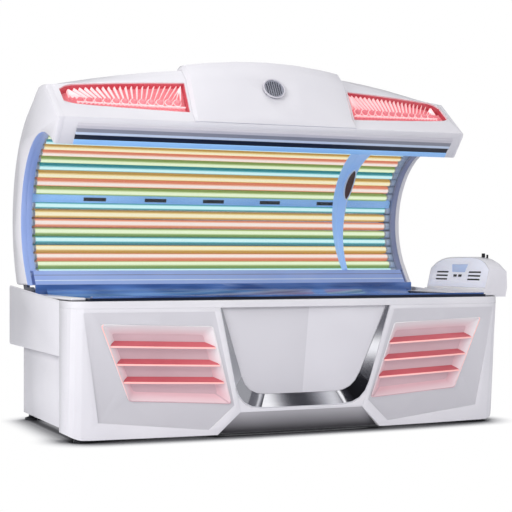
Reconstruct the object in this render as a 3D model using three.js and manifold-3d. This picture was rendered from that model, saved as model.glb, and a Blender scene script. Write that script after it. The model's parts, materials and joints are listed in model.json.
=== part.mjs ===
// Clamshell tanning bed: a bench and a lamp canopy that is hinged along the rear of the base.
// Millimetres, +Z up, +X towards the head end, +Y towards the rear. The canopy stands open.
// Working coordinates: X from the middle of the bench, Y from the axis of the lamp tunnel,
// Z from the floor. The finished bed is then moved to the middle of its own outline.

import * as THREE from 'three';
import { mergeVertices } from 'three/addons/utils/BufferGeometryUtils.js';
import Module from 'manifold-3d';

const wasm = await Module();
wasm.setup();

// Fits between pieces
const SEAT = 0.3;
const FIT = 0.5;

// Lamp tunnel in the canopy, its height over the deck, angles in degrees up from the rear
const TUNNEL_RISE = 358;
const LAMP_CIRCLE = 430;
const LAMP_DIAMETER = 38;
const LAMP_PITCH = 43;
const LAMP_SPAN = 1950;
const UPPER_LAMPS = 17;
const LOWER_LAMPS = 9;
const VENT_ANGLE = 15.5;
const VENT_WIDTH = 28;
const VENT_SLOT_LENGTH = 115;
const VENT_SLOT_HEIGHT = 13;
const VENT_SLOT_PITCH = 310;
const VENT_SLOTS = 5;
const LAMP_AIR = 4;
const ACRYLIC_WALL = 4;
const REFLECTOR_WALL = 1.5;
const RIM_WALL = 18;
const RIM_WIDTH = 28;

// Canopy covers, measured from the tunnel axis
const SHELL_SPACE = 107;
const SHELL_WALL = 5;
const SHELL_TOP_ANGLE = 62;
const CANOPY_FLOOR = -305;
const RAIL_FRONT = 252;
const RAIL_WALL = 4;
const END_CAP_DEPTH = 27;
const END_CAP_EDGE = 13;
const END_CAP_WALL = 5;
const HOOD_WALL = 6;
const CROWN_RISE = 78;
const SWEEP_SPAN = 1000;
const CROWN_BACK = 120;
const LIP_ANGLE = 123.7;
const LENS_LOW = { y: -292, z: 462, sweep: 75, lift: 34, share: 0.06 };
const LENS_TOP = { y: -219, z: 628, sweep: 143, lift: -31, share: 0.96 };
const NOSE = { out: 20, drop: 45, height: 14 };
const LENS_GAP = 10;
const LENS_END_GAP = 28;
const LENS_ROUND = 60;
const LENS_PROUD = 2;
const LIGHT_TRAY_DEPTH = 38;
const LIGHT_TRAY_WALL = 3;
const CAP_HALF = 405;
const CAP_EDGE = 15;
const CAP_WALL = 5;
const CAP_BULGE = 36;
const CAP_EDGE_BULGE = 20;
const GRILLE_DIAMETER = 100;
const GRILLE_SHARE = 0.25;
const GRILLE_BAR = 4;
const GRILLE_BARS = 7;
const LIP_RAIL_DEPTH = 7;
const LIP_RAIL_GAP = 63;
const ARCH_FROM_END = 338;
const ARCH_DEPTH = 26;
const ARCH_LOW_WIDTH = 22;
const ARCH_MID_WIDTH = 54;
const ARCH_TOP_WIDTH = 78;
const ARCH_TOP_ANGLE = 104;
const ARCH_LEAN = 40;
const ARCH_SLIT = { angle: 33, length: 150, width: 14 };

// Hinge and gas springs
const HINGE_Y = 380;
const HINGE_DROP = 45;
const PIN_RADIUS = 12;
const ARM_WALL = 15;
const BRACKET_WALL = 15;
const BRACKET_GAP = 7;
const BRACKET_NECK = 90;
const BRACKET_SHOULDER = 60;
const ARM_GAP = 14;
const ARM_NECK_GAP = 13;
const SPRING_LUG = { y: -80, z: 20 };
const SPRING_FOOT = { y: -50, z: -350 };
const SPRING_RADIUS = 14;
const ROD_RADIUS = 7;
const STUD_RADIUS = 6;
const SPRING_WIDTH = 16;
const EYE_PLAY = 4.5;

// Base
const WING_GAP = 3.7;
const FRONT_Y = -642;
const BOW_RADIUS = 7250;
const CORNER_RADIUS = 90;
const SIDE_RETURN = 281;
const UNDERCUT = 75;
const PANEL_FOOT = 12;
const FRONT_WALL = 11;
const PANEL_WALL = 6;
const DECK_LOW = 562;
const DECK_HEIGHT = 30;
const DECK_BACK = 225;
const DECK_WALL = 5;
const SIDE_COVER_GAP = 13;
const COVER_FOOT = 33;
const WING_LOW = 355;
const WING_OVERHANG = 134;
const WING_RISE = 49;
const REAR_COVER_GAP = 57;
const REAR_COVER_LIP = 6;
const REAR_SHELF_DROP = 22;

// Front panels: outlines seen from the front, X and Z, with outer points from the end of the base
const CENTRE_TOP_HALF = 412;
const CENTRE_WAIST_HALF = 297;
const CENTRE_WAIST_Z = 106;
const CENTRE_FOOT_HALF = 396;
const PANEL_FLANGE = 24;
const FACET = {
  outerTop: [48, 545], outerLow: [121, 85], foot: [434, 36], innerLow: [324, 136], innerTop: [434, 545],
};
const FACET_DEPTH = 6;
const TRIM_FACE = 2;
const TRIM_DEPTH = 46;
const TRIM_LIP = 2.5;
const TRIM_RIB = 15;
const TRIM_ARM_TOP = 14;
const TRIM_ARM_LOW = 58;
const TRIM_BAR = 58;
const TRIM_BEND = 85;
const TRIM_CORNER = 100;
const CENTRE_RECESS = 34;
const CENTRE_TOP_RECESS = 16;
const KICK_DEPTH = 45;
const KICK_WALL = 6;
const WINDOW = {
  outerTop: [117, 499], innerTop: [438, 484], innerLow: [337, 144], outerLow: [247, 171],
};
const WINDOW_CORNER = 12;
const LOUVRE_DEPTH = 42;
const LOUVRE_WALL = 4;
const SLATS = 3;
const LOUVRE_SLOPE = 36;
const SLAT_EDGE = 7;
const SLAT_RISE = 20;
const SLAT_MARGIN = 11;
const SLAT_TOP_GAP = 92;
const SLAT_PITCH = 76;

// Bench
const BENCH_END = 89;
const FRONT_DECK = 86;
const REAR_DECK = 24;
const BENCH_FLANGE = 26;
const BENCH_REAR_REACH = 15;
const BENCH_SAG = 92;
const BENCH_WALL = 8;
const BENCH_RIM_HEIGHT = 11.4;
const BENCH_RIM_WIDTH = 22;
const BENCH_LAMP_MARGIN = 60;
const BENCH_LAMP_PITCH = 50;
const TRAY_WALL = 1.5;

// Frame and feet
const TUBE = 43;
const TUBE_DEPTH = 50;
const FOOT_HEIGHT = 40;
const FOOT_RADIUS = 30;
const FRAME_SET = 187;
const FRAME_BACK_GAP = 32;
const POST = 25;

// Head console
const CONSOLE_MID = -135;
const CONSOLE_WIDTH = 550;
const CONSOLE_LENGTH = 210;
const CONSOLE_SINK = 6;
const CONSOLE_HEIGHT = 194;
const CONSOLE_ARCH = 58;
const CONSOLE_WALL = 5;
const FACE_SILL = 36;
const FACE_SET = 14;
const FACE_LEAN = 38;
const DISPLAY = { width: 150, rise: 82, height: 38 };
const BUTTON = { width: 26, height: 11, rise: 64, spacing: 46 };
const CONSOLE_VENT = { edge: 125, width: 112, height: 8, rise: 46, pitch: 18, count: 3 };
const FAN_RADIUS = 44;
const FAN_HUB = 14;
const FAN_DEPTH = 18;
const FAN_BLADES = 6;
const LEVER = { side: -130, x: 90, width: 14, height: 28, sunk: 3 };

const RAD = Math.PI / 180;

// Heights that follow from the deck
const deckTop = DECK_LOW + DECK_HEIGHT;
const tunnelHeight = deckTop + TUNNEL_RISE;
const hingeZ = tunnelHeight + CANOPY_FLOOR - HINGE_DROP;
const consoleLow = deckTop - CONSOLE_SINK;
const consoleTop = consoleLow + CONSOLE_HEIGHT;
const faceLow = consoleLow + FACE_SILL;

// Plain vector helpers on [a, b] points
const polar = (radius, degrees) => [radius * Math.cos(degrees * RAD), radius * Math.sin(degrees * RAD)];

function arc(radius, from, to, steps) {
  return Array.from({ length: steps + 1 }, (_, i) => polar(radius, from + ((to - from) * i) / steps));
}

function moved(points, da, db) {
  return points.map(([a, b]) => [a + da, b + db]);
}

// Each point of an open path moves to the left of the path by its own distance.
function shifted(path, distances) {
  return path.map((point, i) => {
    const before = path[Math.max(i - 1, 0)];
    const after = path[Math.min(i + 1, path.length - 1)];
    const first = new THREE.Vector2(point[0] - before[0], point[1] - before[1]).normalize();
    const last = new THREE.Vector2(after[0] - point[0], after[1] - point[1]).normalize();
    if (i === 0) first.copy(last);
    if (i === path.length - 1) last.copy(first);
    const normal = new THREE.Vector2(-first.y - last.y, first.x + last.x).normalize();
    const reach = distances[i] / Math.max(0.4, normal.dot(new THREE.Vector2(-first.y, first.x)));
    return [point[0] + normal.x * reach, point[1] + normal.y * reach];
  });
}

const offset = (path, distance) => shifted(path, path.map(() => distance));
const strip = (path, wall) => [...path, ...offset(path, wall).reverse()];

// A closed outline moves inwards. Its points run counter-clockwise.
function inset(outline, distance) {
  const closed = [outline[outline.length - 1], ...outline, outline[0]];
  return offset(closed, distance).slice(1, -1);
}

function counterClockwise(outline) {
  const flat = outline.map(([a, b]) => new THREE.Vector2(a, b));
  return THREE.ShapeUtils.isClockWise(flat) ? [...outline].reverse() : outline;
}

function rounded(outline, radius, steps = 4) {
  return outline.flatMap((corner, i) => {
    const before = outline[(i + outline.length - 1) % outline.length];
    const after = outline[(i + 1) % outline.length];
    const here = new THREE.Vector2(...corner);
    const toBefore = new THREE.Vector2(...before).sub(here);
    const toAfter = new THREE.Vector2(...after).sub(here);
    const reach = Math.min(radius, toBefore.length() / 2.2, toAfter.length() / 2.2);
    const start = here.clone().add(toBefore.setLength(reach));
    const end = here.clone().add(toAfter.setLength(reach));
    return new THREE.QuadraticBezierCurve(start, here, end).getPoints(steps).map((p) => [p.x, p.y]);
  });
}

// Solids from outlines
function extruded(outline, depth, holes = []) {
  const shape = new THREE.Shape(outline.map(([a, b]) => new THREE.Vector2(a, b)));
  shape.holes = holes.map((hole) => new THREE.Path(hole.map(([a, b]) => new THREE.Vector2(a, b))));
  return new THREE.ExtrudeGeometry(shape, { depth, bevelEnabled: false });
}

const YZ_TO_X = new THREE.Matrix4().set(0, 0, 1, 0, 1, 0, 0, 0, 0, 1, 0, 0, 0, 0, 0, 1);

const alongX = (outline, from, to, holes) =>
  extruded(outline, to - from, holes).applyMatrix4(YZ_TO_X).translate(from, 0, 0);
const alongY = (outline, from, to, holes) =>
  extruded(outline, to - from, holes).rotateX(Math.PI / 2).translate(0, to, 0);
const alongZ = (outline, from, to, holes) => extruded(outline, to - from, holes).translate(0, 0, from);

function box(x, y, z) {
  const solid = new THREE.BoxGeometry(x[1] - x[0], y[1] - y[0], z[1] - z[0]);
  return solid.translate((x[0] + x[1]) / 2, (y[0] + y[1]) / 2, (z[0] + z[1]) / 2);
}

function rodX(radius, from, to, y, z, sides = 16) {
  const rod = new THREE.CylinderGeometry(radius, radius, to - from, sides);
  return rod.rotateZ(-Math.PI / 2).translate((from + to) / 2, y, z);
}

function flippedFaces(geometry) {
  const { array } = geometry.index;
  for (let i = 0; i < array.length; i += 3) {
    [array[i], array[i + 1]] = [array[i + 1], array[i]];
  }
  return geometry;
}

function signedVolume(geometry) {
  const at = (i) => new THREE.Vector3().fromBufferAttribute(geometry.attributes.position, i);
  const { array } = geometry.index;
  let volume = 0;
  for (let i = 0; i < array.length; i += 3) {
    volume += at(array[i]).dot(at(array[i + 1]).cross(at(array[i + 2]))) / 6;
  }
  return volume;
}

// The end of a loft is filled with triangles in the plane of its ring.
function ringFaces(ring) {
  const normal = new THREE.Vector3();
  ring.forEach((p, i) => normal.add(p.clone().cross(ring[(i + 1) % ring.length])));
  normal.normalize();
  const side = new THREE.Vector3(1, 0, 0);
  if (Math.abs(normal.x) > 0.9) side.set(0, 1, 0);
  side.cross(normal).normalize();
  const up = normal.clone().cross(side);
  const flat = ring.map((p) => new THREE.Vector2(p.dot(side), p.dot(up)));
  return THREE.ShapeUtils.triangulateShape(flat, []);
}

function loft(rings) {
  const count = rings[0].length;
  const last = (rings.length - 1) * count;
  const index = [];
  for (let r = 0; r < rings.length - 1; r += 1) {
    for (let i = 0; i < count; i += 1) {
      const a = r * count + i;
      const b = r * count + ((i + 1) % count);
      index.push(a, b, b + count, a, b + count, a + count);
    }
  }
  ringFaces(rings[0]).forEach(([a, b, c]) => index.push(a, c, b));
  ringFaces(rings[rings.length - 1]).forEach(([a, b, c]) => index.push(last + a, last + b, last + c));
  const geometry = new THREE.BufferGeometry().setFromPoints(rings.flat());
  geometry.setIndex(index);
  return signedVolume(geometry) < 0 ? flippedFaces(geometry) : geometry;
}

const ringAtX = (outline, x) => outline.map(([y, z]) => new THREE.Vector3(x, y, z));
const ringAtZ = (outline, z) => outline.map(([x, y]) => new THREE.Vector3(x, y, z));

// Joins and cuts
function toSolid(geometry) {
  const bare = geometry.clone();
  bare.deleteAttribute('normal');
  bare.deleteAttribute('uv');
  const merged = mergeVertices(bare, 1e-3);
  const mesh = new wasm.Mesh({
    numProp: 3,
    vertProperties: new Float32Array(merged.attributes.position.array),
    triVerts: new Uint32Array(merged.index.array),
  });
  return new wasm.Manifold(mesh);
}

function toGeometry(solid) {
  const mesh = solid.getMesh();
  const geometry = new THREE.BufferGeometry();
  geometry.setAttribute('position', new THREE.BufferAttribute(mesh.vertProperties, 3));
  geometry.setIndex(new THREE.BufferAttribute(mesh.triVerts, 1));
  return geometry;
}

const joined = (...pieces) => toGeometry(pieces.map(toSolid).reduce((all, next) => all.add(next)));
const cut = (piece, ...tools) =>
  toGeometry(tools.map(toSolid).reduce((left, tool) => left.subtract(tool), toSolid(piece)));
const common = (piece, other) => toGeometry(toSolid(piece).intersect(toSolid(other)));

function mirrored(geometry) {
  const copy = geometry.index ? geometry.clone() : mergeVertices(geometry.clone());
  return flippedFaces(copy.scale(-1, 1, 1));
}

// Finishes
const FINISHES = {
  white: { color: 0xe6e4e9, roughness: 0.3, metalness: 0 },
  panel: { color: 0xcfcdd2, roughness: 0.35, metalness: 0 },
  silver: { color: 0xb9b8c0, roughness: 0.35, metalness: 0.7 },
  chrome: { color: 0xd8d8dc, roughness: 0.08, metalness: 1 },
  blue: { color: 0x8fb0e0, roughness: 0.3, metalness: 0 },
  navy: { color: 0x10204a, roughness: 0.2, metalness: 0 },
  dark: { color: 0x2a2a2e, roughness: 0.6, metalness: 0 },
  acrylic: { color: 0xcfe0f5, roughness: 0.05, metalness: 0 },
  lamp: { color: 0xf2e2b0, roughness: 0.3, metalness: 0 },
  reflector: { color: 0xc9d3e2, roughness: 0.2, metalness: 0.9 },
  red: { color: 0xc4505a, roughness: 0.3, metalness: 0 },
  lens: { color: 0xe0606a, roughness: 0.08, metalness: 0 },
  steel: { color: 0x8a8c92, roughness: 0.4, metalness: 0.8 },
  display: { color: 0x3a6fc0, roughness: 0.15, metalness: 0 },
};

const bed = new THREE.Group();
const canopy = new THREE.Group();
canopy.position.z = tunnelHeight;
bed.add(canopy);

function add(group, name, geometry, finish) {
  const mesh = new THREE.Mesh(geometry, new THREE.MeshStandardMaterial(FINISHES[finish]));
  mesh.name = name;
  group.add(mesh);
}

function addPair(group, name, geometry, finish) {
  add(group, `${name}_right`, geometry, finish);
  add(group, `${name}_left`, mirrored(geometry), finish);
}

// Radii and angles that the canopy pieces share
const lampRadius = LAMP_DIAMETER / 2;
const lampStep = LAMP_PITCH / LAMP_CIRCLE / RAD;
const ventHalf = VENT_WIDTH / 2 / LAMP_CIRCLE / RAD;
const lampHalf = lampRadius / LAMP_CIRCLE / RAD;
const lampFirst = ventHalf + lampHalf + SEAT;
const lowerAngles = Array.from({ length: LOWER_LAMPS }, (_, i) => VENT_ANGLE - lampFirst - i * lampStep);
const upperAngles = Array.from({ length: UPPER_LAMPS }, (_, i) => VENT_ANGLE + lampFirst + i * lampStep);
const arcLow = lowerAngles[LOWER_LAMPS - 1] - lampHalf - SEAT;
const arcHigh = upperAngles[UPPER_LAMPS - 1] + lampHalf + SEAT;
const acrylicOuter = LAMP_CIRCLE - lampRadius - LAMP_AIR;
const acrylicInner = acrylicOuter - ACRYLIC_WALL;
const rimOuter = acrylicInner - SEAT;
const rimInner = rimOuter - RIM_WALL;
const reflectorInner = LAMP_CIRCLE + lampRadius + LAMP_AIR;
const lampEnd = LAMP_SPAN / 2;
const canopyHalf = lampEnd + RIM_WIDTH;
const endCapStart = canopyHalf + SEAT;
const endCapEnd = endCapStart + END_CAP_DEPTH;
const armInner = canopyHalf - ARM_WALL;
const shellRadius = reflectorInner + SHELL_SPACE;
const lensStart = CAP_HALF + LENS_GAP;
const lensEnd = canopyHalf - LENS_END_GAP;
const archX = canopyHalf - ARCH_FROM_END;
const nose = { y: LENS_LOW.y - NOSE.out, z: LENS_LOW.z - NOSE.drop };
const shellLow = Math.asin((CANOPY_FLOOR + SHELL_WALL) / shellRadius) / RAD;
const ARC_STEPS = 30;
const CROWN_STEPS = 8;

function band(inner, outer, low, high, steps) {
  return [...arc(outer, low, high, steps), ...arc(inner, high, low, steps)];
}

// Outer line of the hood at one X, from the shell over the crown and the lens to the lip
function hoodLine(x) {
  const square = (x / SWEEP_SPAN) ** 2;
  const rise = CROWN_RISE * Math.max(0.03, 1 - square);
  const top = [LENS_TOP.y + LENS_TOP.sweep * square, LENS_TOP.z + LENS_TOP.lift * square];
  const low = [LENS_LOW.y + LENS_LOW.sweep * square, LENS_LOW.z + LENS_LOW.lift * square];
  const joint = polar(shellRadius, SHELL_TOP_ANGLE + SEAT / shellRadius / RAD);
  const back = polar(shellRadius + 8 + rise * 0.3, SHELL_TOP_ANGLE + 13);
  const crown = [top[0] + CROWN_BACK, top[1] + rise];
  const brow = [top[0] + CROWN_BACK * 0.3, top[1] + rise * 0.55];
  const spline = new THREE.SplineCurve([joint, back, crown, brow, top].map((p) => new THREE.Vector2(...p)));
  const crownPoints = spline.getPoints(CROWN_STEPS).map((p) => [p.x, p.y]);
  const lip = polar(rimInner, LIP_ANGLE);
  const tip = [[nose.y, nose.z + NOSE.height], [nose.y + NOSE.height / 2, nose.z - NOSE.height * 0.3]];
  return [...crownPoints, low, ...tip, lip];
}

const lensRoundStart = lensEnd - LENS_ROUND;
const lensStation = (share) => lensStart + (lensRoundStart - lensStart) * share;
const HOOD_STATIONS = [
  0, CAP_HALF / 2, CAP_HALF, lensStart, ...[0.25, 0.53, 0.77].map(lensStation), lensRoundStart,
  lensEnd - LENS_ROUND / 2, lensEnd, canopyHalf,
];
const lensIndex = { top: CROWN_STEPS, low: CROWN_STEPS + 1 };

function bothWays(stations) {
  return [...stations.slice(1).reverse().map((x) => -x), ...stations];
}

function hoodRing(x) {
  const outer = hoodLine(x);
  const inner = offset(outer, HOOD_WALL);
  inner[0] = polar(shellRadius - HOOD_WALL, SHELL_TOP_ANGLE + SEAT / shellRadius / RAD);
  return ringAtX([...outer, ...inner.reverse()], x);
}

// A bar over the lens face of the hood, between two shares of its height and two depths
function lensBar(stations, deep, proud, margin) {
  const rings = stations.map((x) => {
    const line = hoodLine(x);
    const top = new THREE.Vector2(...line[lensIndex.top]);
    const low = new THREE.Vector2(...line[lensIndex.low]);
    const up = top.clone().sub(low);
    const out = new THREE.Vector2(-up.y, up.x).normalize();
    const taper = Math.max(0, (x - lensRoundStart) / LENS_ROUND) ** 2;
    const edge = margin / up.length();
    const lower = low.clone().addScaledVector(up, LENS_LOW.share + 0.1 * taper - edge);
    const upper = low.clone().addScaledVector(up, LENS_TOP.share - 0.2 * taper + edge);
    const at = (base, depth) => new THREE.Vector3(x, base.x + out.x * depth, base.y + out.y * depth);
    return [at(lower, deep), at(upper, deep), at(upper, proud), at(lower, proud)];
  });
  return loft(rings);
}

const lensStations = HOOD_STATIONS.filter((x) => x >= lensStart && x <= lensEnd);

function widened(stations, by) {
  const wide = [...stations];
  wide[0] -= by;
  wide[wide.length - 1] += by;
  return wide;
}

function canopyHood() {
  const hood = loft(bothWays(HOOD_STATIONS).map(hoodRing));
  const window = lensBar(widened(lensStations, FIT), -3 * HOOD_WALL, 3 * HOOD_WALL, FIT);
  return cut(hood, window, mirrored(window));
}

function lightTray() {
  const back = -HOOD_WALL - 4 * SEAT;
  const stations = widened(lensStations, LIGHT_TRAY_WALL);
  const outer = lensBar(stations, back - LIGHT_TRAY_DEPTH, back, LIGHT_TRAY_WALL);
  const hollow = lensBar(lensStations, back - LIGHT_TRAY_DEPTH + LIGHT_TRAY_WALL, 0, 0);
  return cut(outer, hollow);
}

// Raised middle cap of the hood: its line swells away from the hood between the two lenses
const capShoulder = CAP_HALF - CAP_EDGE;
const capStations = [...[0, 0.385, 0.77, 1].map((share) => capShoulder * share), CAP_HALF];
const capFirst = lensIndex.top - CROWN_STEPS * 0.75;
const capLast = lensIndex.low + 1;

function capLines(x) {
  const line = hoodLine(x).slice(capFirst, capLast + 1);
  const along = Math.min(Math.abs(x) / capShoulder, 1);
  const atEdge = Math.abs(x) >= CAP_HALF;
  const bulge = atEdge ? 0 : CAP_EDGE_BULGE + (CAP_BULGE - CAP_EDGE_BULGE) * (1 - along * along);
  const swell = line.map((_, i) => {
    const share = Math.sin((Math.PI * i) / (line.length - 1));
    return CAP_WALL + SEAT + bulge * Math.sqrt(share);
  });
  const outer = shifted(line, swell.map((d) => -d));
  const inner = shifted(line, swell.map((d) => CAP_WALL - d));
  return { outer, inner };
}

function grillePlace() {
  const { outer, inner } = capLines(0);
  const top = lensIndex.top - capFirst;
  const between = (path) => [0, 1].map(
    (i) => path[top][i] + (path[top + 1][i] - path[top][i]) * GRILLE_SHARE);
  const front = new THREE.Vector3(0, ...between(outer));
  const back = new THREE.Vector3(0, ...between(inner));
  return { front, axis: front.clone().sub(back).normalize() };
}

function atGrille(geometry, depth) {
  const { front, axis } = grillePlace();
  const turn = new THREE.Quaternion().setFromUnitVectors(new THREE.Vector3(0, 1, 0), axis);
  const place = front.clone().addScaledVector(axis, depth);
  return geometry.applyQuaternion(turn).translate(place.x, place.y, place.z);
}

function canopyCap() {
  const rings = bothWays(capStations).map((x) => {
    const { outer, inner } = capLines(x);
    return ringAtX([...outer, ...inner.reverse()], x);
  });
  const radius = GRILLE_DIAMETER / 2 + FIT;
  const hole = new THREE.CylinderGeometry(radius, radius, GRILLE_DIAMETER * 0.6, 24);
  return cut(loft(rings), atGrille(hole, 0));
}

function speakerGrille() {
  const depth = CAP_WALL * 2 + SEAT;
  const disc = new THREE.CylinderGeometry(GRILLE_DIAMETER / 2, GRILLE_DIAMETER / 2, depth, 24);
  const slots = Array.from({ length: GRILLE_BARS }, (_, i) => {
    const x = (i - (GRILLE_BARS - 1) / 2) * (GRILLE_DIAMETER / (GRILLE_BARS + 2));
    const half = Math.sqrt((GRILLE_DIAMETER * 0.42) ** 2 - x * x);
    const width = GRILLE_DIAMETER / (GRILLE_BARS + 2) - GRILLE_BAR;
    return new THREE.BoxGeometry(width, depth * 2, half * 2).translate(x, 0, 0);
  });
  return atGrille(cut(disc, ...slots), -CAP_WALL / 2);
}

// End cap outline: shell, hood end, lip, tunnel mouth and bottom rail
function endOutline() {
  const floorBack = [Math.sqrt(shellRadius ** 2 - CANOPY_FLOOR ** 2), CANOPY_FLOOR];
  const mouth = arc(rimInner, LIP_ANGLE, arcLow, 20);
  return [
    floorBack, ...arc(shellRadius, shellLow + 1, SHELL_TOP_ANGLE, ARC_STEPS / 2),
    ...hoodLine(canopyHalf).slice(1, -1), ...mouth, [RAIL_FRONT, CANOPY_FLOOR],
  ];
}

function endCap() {
  const outline = endOutline();
  const edge = endCapEnd - END_CAP_EDGE;
  const body = loft([
    ringAtX(outline, endCapStart), ringAtX(outline, edge),
    ringAtX(inset(outline, END_CAP_EDGE * 0.3), endCapEnd - END_CAP_EDGE * 0.3),
    ringAtX(inset(outline, END_CAP_EDGE), endCapEnd),
  ]);
  const hollow = band(rimOuter + END_CAP_WALL, shellRadius - END_CAP_DEPTH - END_CAP_WALL,
    arcLow + END_CAP_WALL, LIP_ANGLE - 2 * END_CAP_WALL, ARC_STEPS / 2);
  return cut(body, alongX(hollow, endCapStart - 1, endCapEnd - END_CAP_WALL));
}

function bottomRail() {
  const angle = arcLow - SEAT / LAMP_CIRCLE / RAD;
  const top = polar(rimInner, angle);
  const floorCut = polar(CANOPY_FLOOR / Math.sin(angle * RAD), angle);
  const shellInside = Math.sqrt((shellRadius - SHELL_WALL) ** 2 - CANOPY_FLOOR ** 2) - RAIL_WALL;
  const outline = [
    [RAIL_FRONT, CANOPY_FLOOR], [shellInside, CANOPY_FLOOR], [shellInside, CANOPY_FLOOR + RAIL_WALL],
    [floorCut[0] - RAIL_WALL / Math.tan(-angle * RAD), CANOPY_FLOOR + RAIL_WALL], top,
  ];
  const hollow = inset([outline[0], [floorCut[0], CANOPY_FLOOR], top], RAIL_WALL);
  const half = armInner - SEAT;
  return alongX(outline, -half, half, [hollow]);
}

// Lamps with the two socket bars that hold them
function lampBank(angles) {
  const bar = band(acrylicOuter + SEAT, reflectorInner - 2 * SEAT,
    Math.min(...angles) - lampHalf, Math.max(...angles) + lampHalf, angles.length * 2);
  const bars = [alongX(bar, lampEnd, canopyHalf), alongX(bar, -canopyHalf, -lampEnd)];
  const lamps = angles.map((angle) => {
    const [y, z] = polar(LAMP_CIRCLE, angle);
    return rodX(lampRadius, -lampEnd - 1, lampEnd + 1, y, z, 6);
  });
  return joined(...bars, ...lamps);
}

function ventStrip() {
  const edges = [VENT_ANGLE - ventHalf, VENT_ANGLE + ventHalf];
  const outline = band(acrylicOuter + SEAT, reflectorInner - 2 * SEAT, ...edges, 2);
  const slots = Array.from({ length: VENT_SLOTS }, (_, i) => {
    const x = (i - (VENT_SLOTS - 1) / 2) * VENT_SLOT_PITCH;
    const slot = new THREE.BoxGeometry(VENT_SLOT_LENGTH, LAMP_DIAMETER, VENT_SLOT_HEIGHT);
    return slot.translate(x, acrylicOuter, 0).rotateX(VENT_ANGLE * RAD);
  });
  return cut(alongX(outline, -lampEnd + SEAT, lampEnd - SEAT), ...slots);
}

// Rib across the tunnel wall, narrow at its foot and wide at the top, with a pointed slit
const archShare = (angle) => (angle - arcLow) / (ARCH_TOP_ANGLE - arcLow);

function dividerArch() {
  const steps = 16;
  const rings = Array.from({ length: steps + 1 }, (_, i) => {
    const share = i / steps;
    const angle = arcLow + (ARCH_TOP_ANGLE - arcLow) * share;
    const width = share < 0.45
      ? ARCH_LOW_WIDTH + (ARCH_MID_WIDTH - ARCH_LOW_WIDTH) * Math.sin((Math.PI / 2) * (share / 0.45))
      : ARCH_MID_WIDTH + (ARCH_TOP_WIDTH - ARCH_MID_WIDTH) * ((share - 0.45) / 0.55);
    const crest = polar(rimOuter - ARCH_DEPTH, angle);
    const root = polar(rimOuter - SEAT, angle);
    const lean = ARCH_LEAN * share * share;
    return [[0.5, root], [0.28, crest], [-0.28, crest], [-0.5, root]].map(
      ([side, [y, z]]) => new THREE.Vector3(archX + lean + side * width, y, z));
  });
  const slit = new THREE.Shape();
  slit.moveTo(0, -ARCH_SLIT.length / 2);
  slit.quadraticCurveTo(ARCH_SLIT.width, 0, 0, ARCH_SLIT.length / 2);
  slit.quadraticCurveTo(-ARCH_SLIT.width, 0, 0, -ARCH_SLIT.length / 2);
  const through = { depth: ARCH_DEPTH * 3, bevelEnabled: false, curveSegments: 5 };
  const cutter = new THREE.ExtrudeGeometry(slit, through).translate(0, 0, rimOuter - ARCH_DEPTH * 2);
  const place = archX + ARCH_LEAN * archShare(ARCH_SLIT.angle) ** 2;
  return cut(loft(rings), cutter.rotateX((ARCH_SLIT.angle - 90) * RAD).translate(place, 0, 0));
}

function lipRail() {
  const line = hoodLine(0);
  const nose = new THREE.Vector2(...line[line.length - 2]);
  const lip = new THREE.Vector2(...line[line.length - 1]);
  const at = (share, depth) => {
    const along = lip.clone().sub(nose);
    const out = new THREE.Vector2(along.y, -along.x).normalize();
    const point = nose.clone().addScaledVector(along, share).addScaledVector(out, depth + SEAT);
    return [point.x, point.y];
  };
  const groove = LIP_RAIL_DEPTH * 0.4;
  const outline = [
    at(0.06, 0), at(0.96, 0), at(0.96, LIP_RAIL_DEPTH), at(0.78, LIP_RAIL_DEPTH), at(0.76, groove),
    at(0.58, groove), at(0.56, LIP_RAIL_DEPTH), at(0.14, LIP_RAIL_DEPTH),
  ];
  const half = canopyHalf - LIP_RAIL_GAP;
  return alongX(outline, -half, half);
}

// Hinge parts, right-hand side
const bracketOuter = armInner - BRACKET_GAP;
const bracketInner = bracketOuter - BRACKET_WALL;
const springOuter = bracketInner - BRACKET_GAP;
const springInner = springOuter - SPRING_WIDTH;
const frameTop = FOOT_HEIGHT + TUBE_DEPTH;

// The base is as long as the canopy and closes round the hinge
const baseHalf = endCapEnd + WING_GAP + PANEL_WALL;
const sideCoverHalf = bracketOuter + SIDE_COVER_GAP + PANEL_WALL;
const rearCoverY = HINGE_Y + REAR_COVER_GAP;
const wingBack = rearCoverY + WING_OVERHANG;
const rearCoverTop = deckTop + REAR_COVER_LIP;
const rearShelf = DECK_LOW - REAR_SHELF_DROP;
const sideReturnY = FRONT_Y + SIDE_RETURN;
const frameFront = FRONT_Y + FRAME_SET;
const frameBack = rearCoverY - FRAME_BACK_GAP;
const benchHalf = baseHalf - BENCH_END;
const benchFront = FRONT_Y + FRONT_DECK;
const benchBack = DECK_BACK - REAR_DECK;
const fromEnd = ([gap, z]) => [baseHalf - gap, z];

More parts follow.
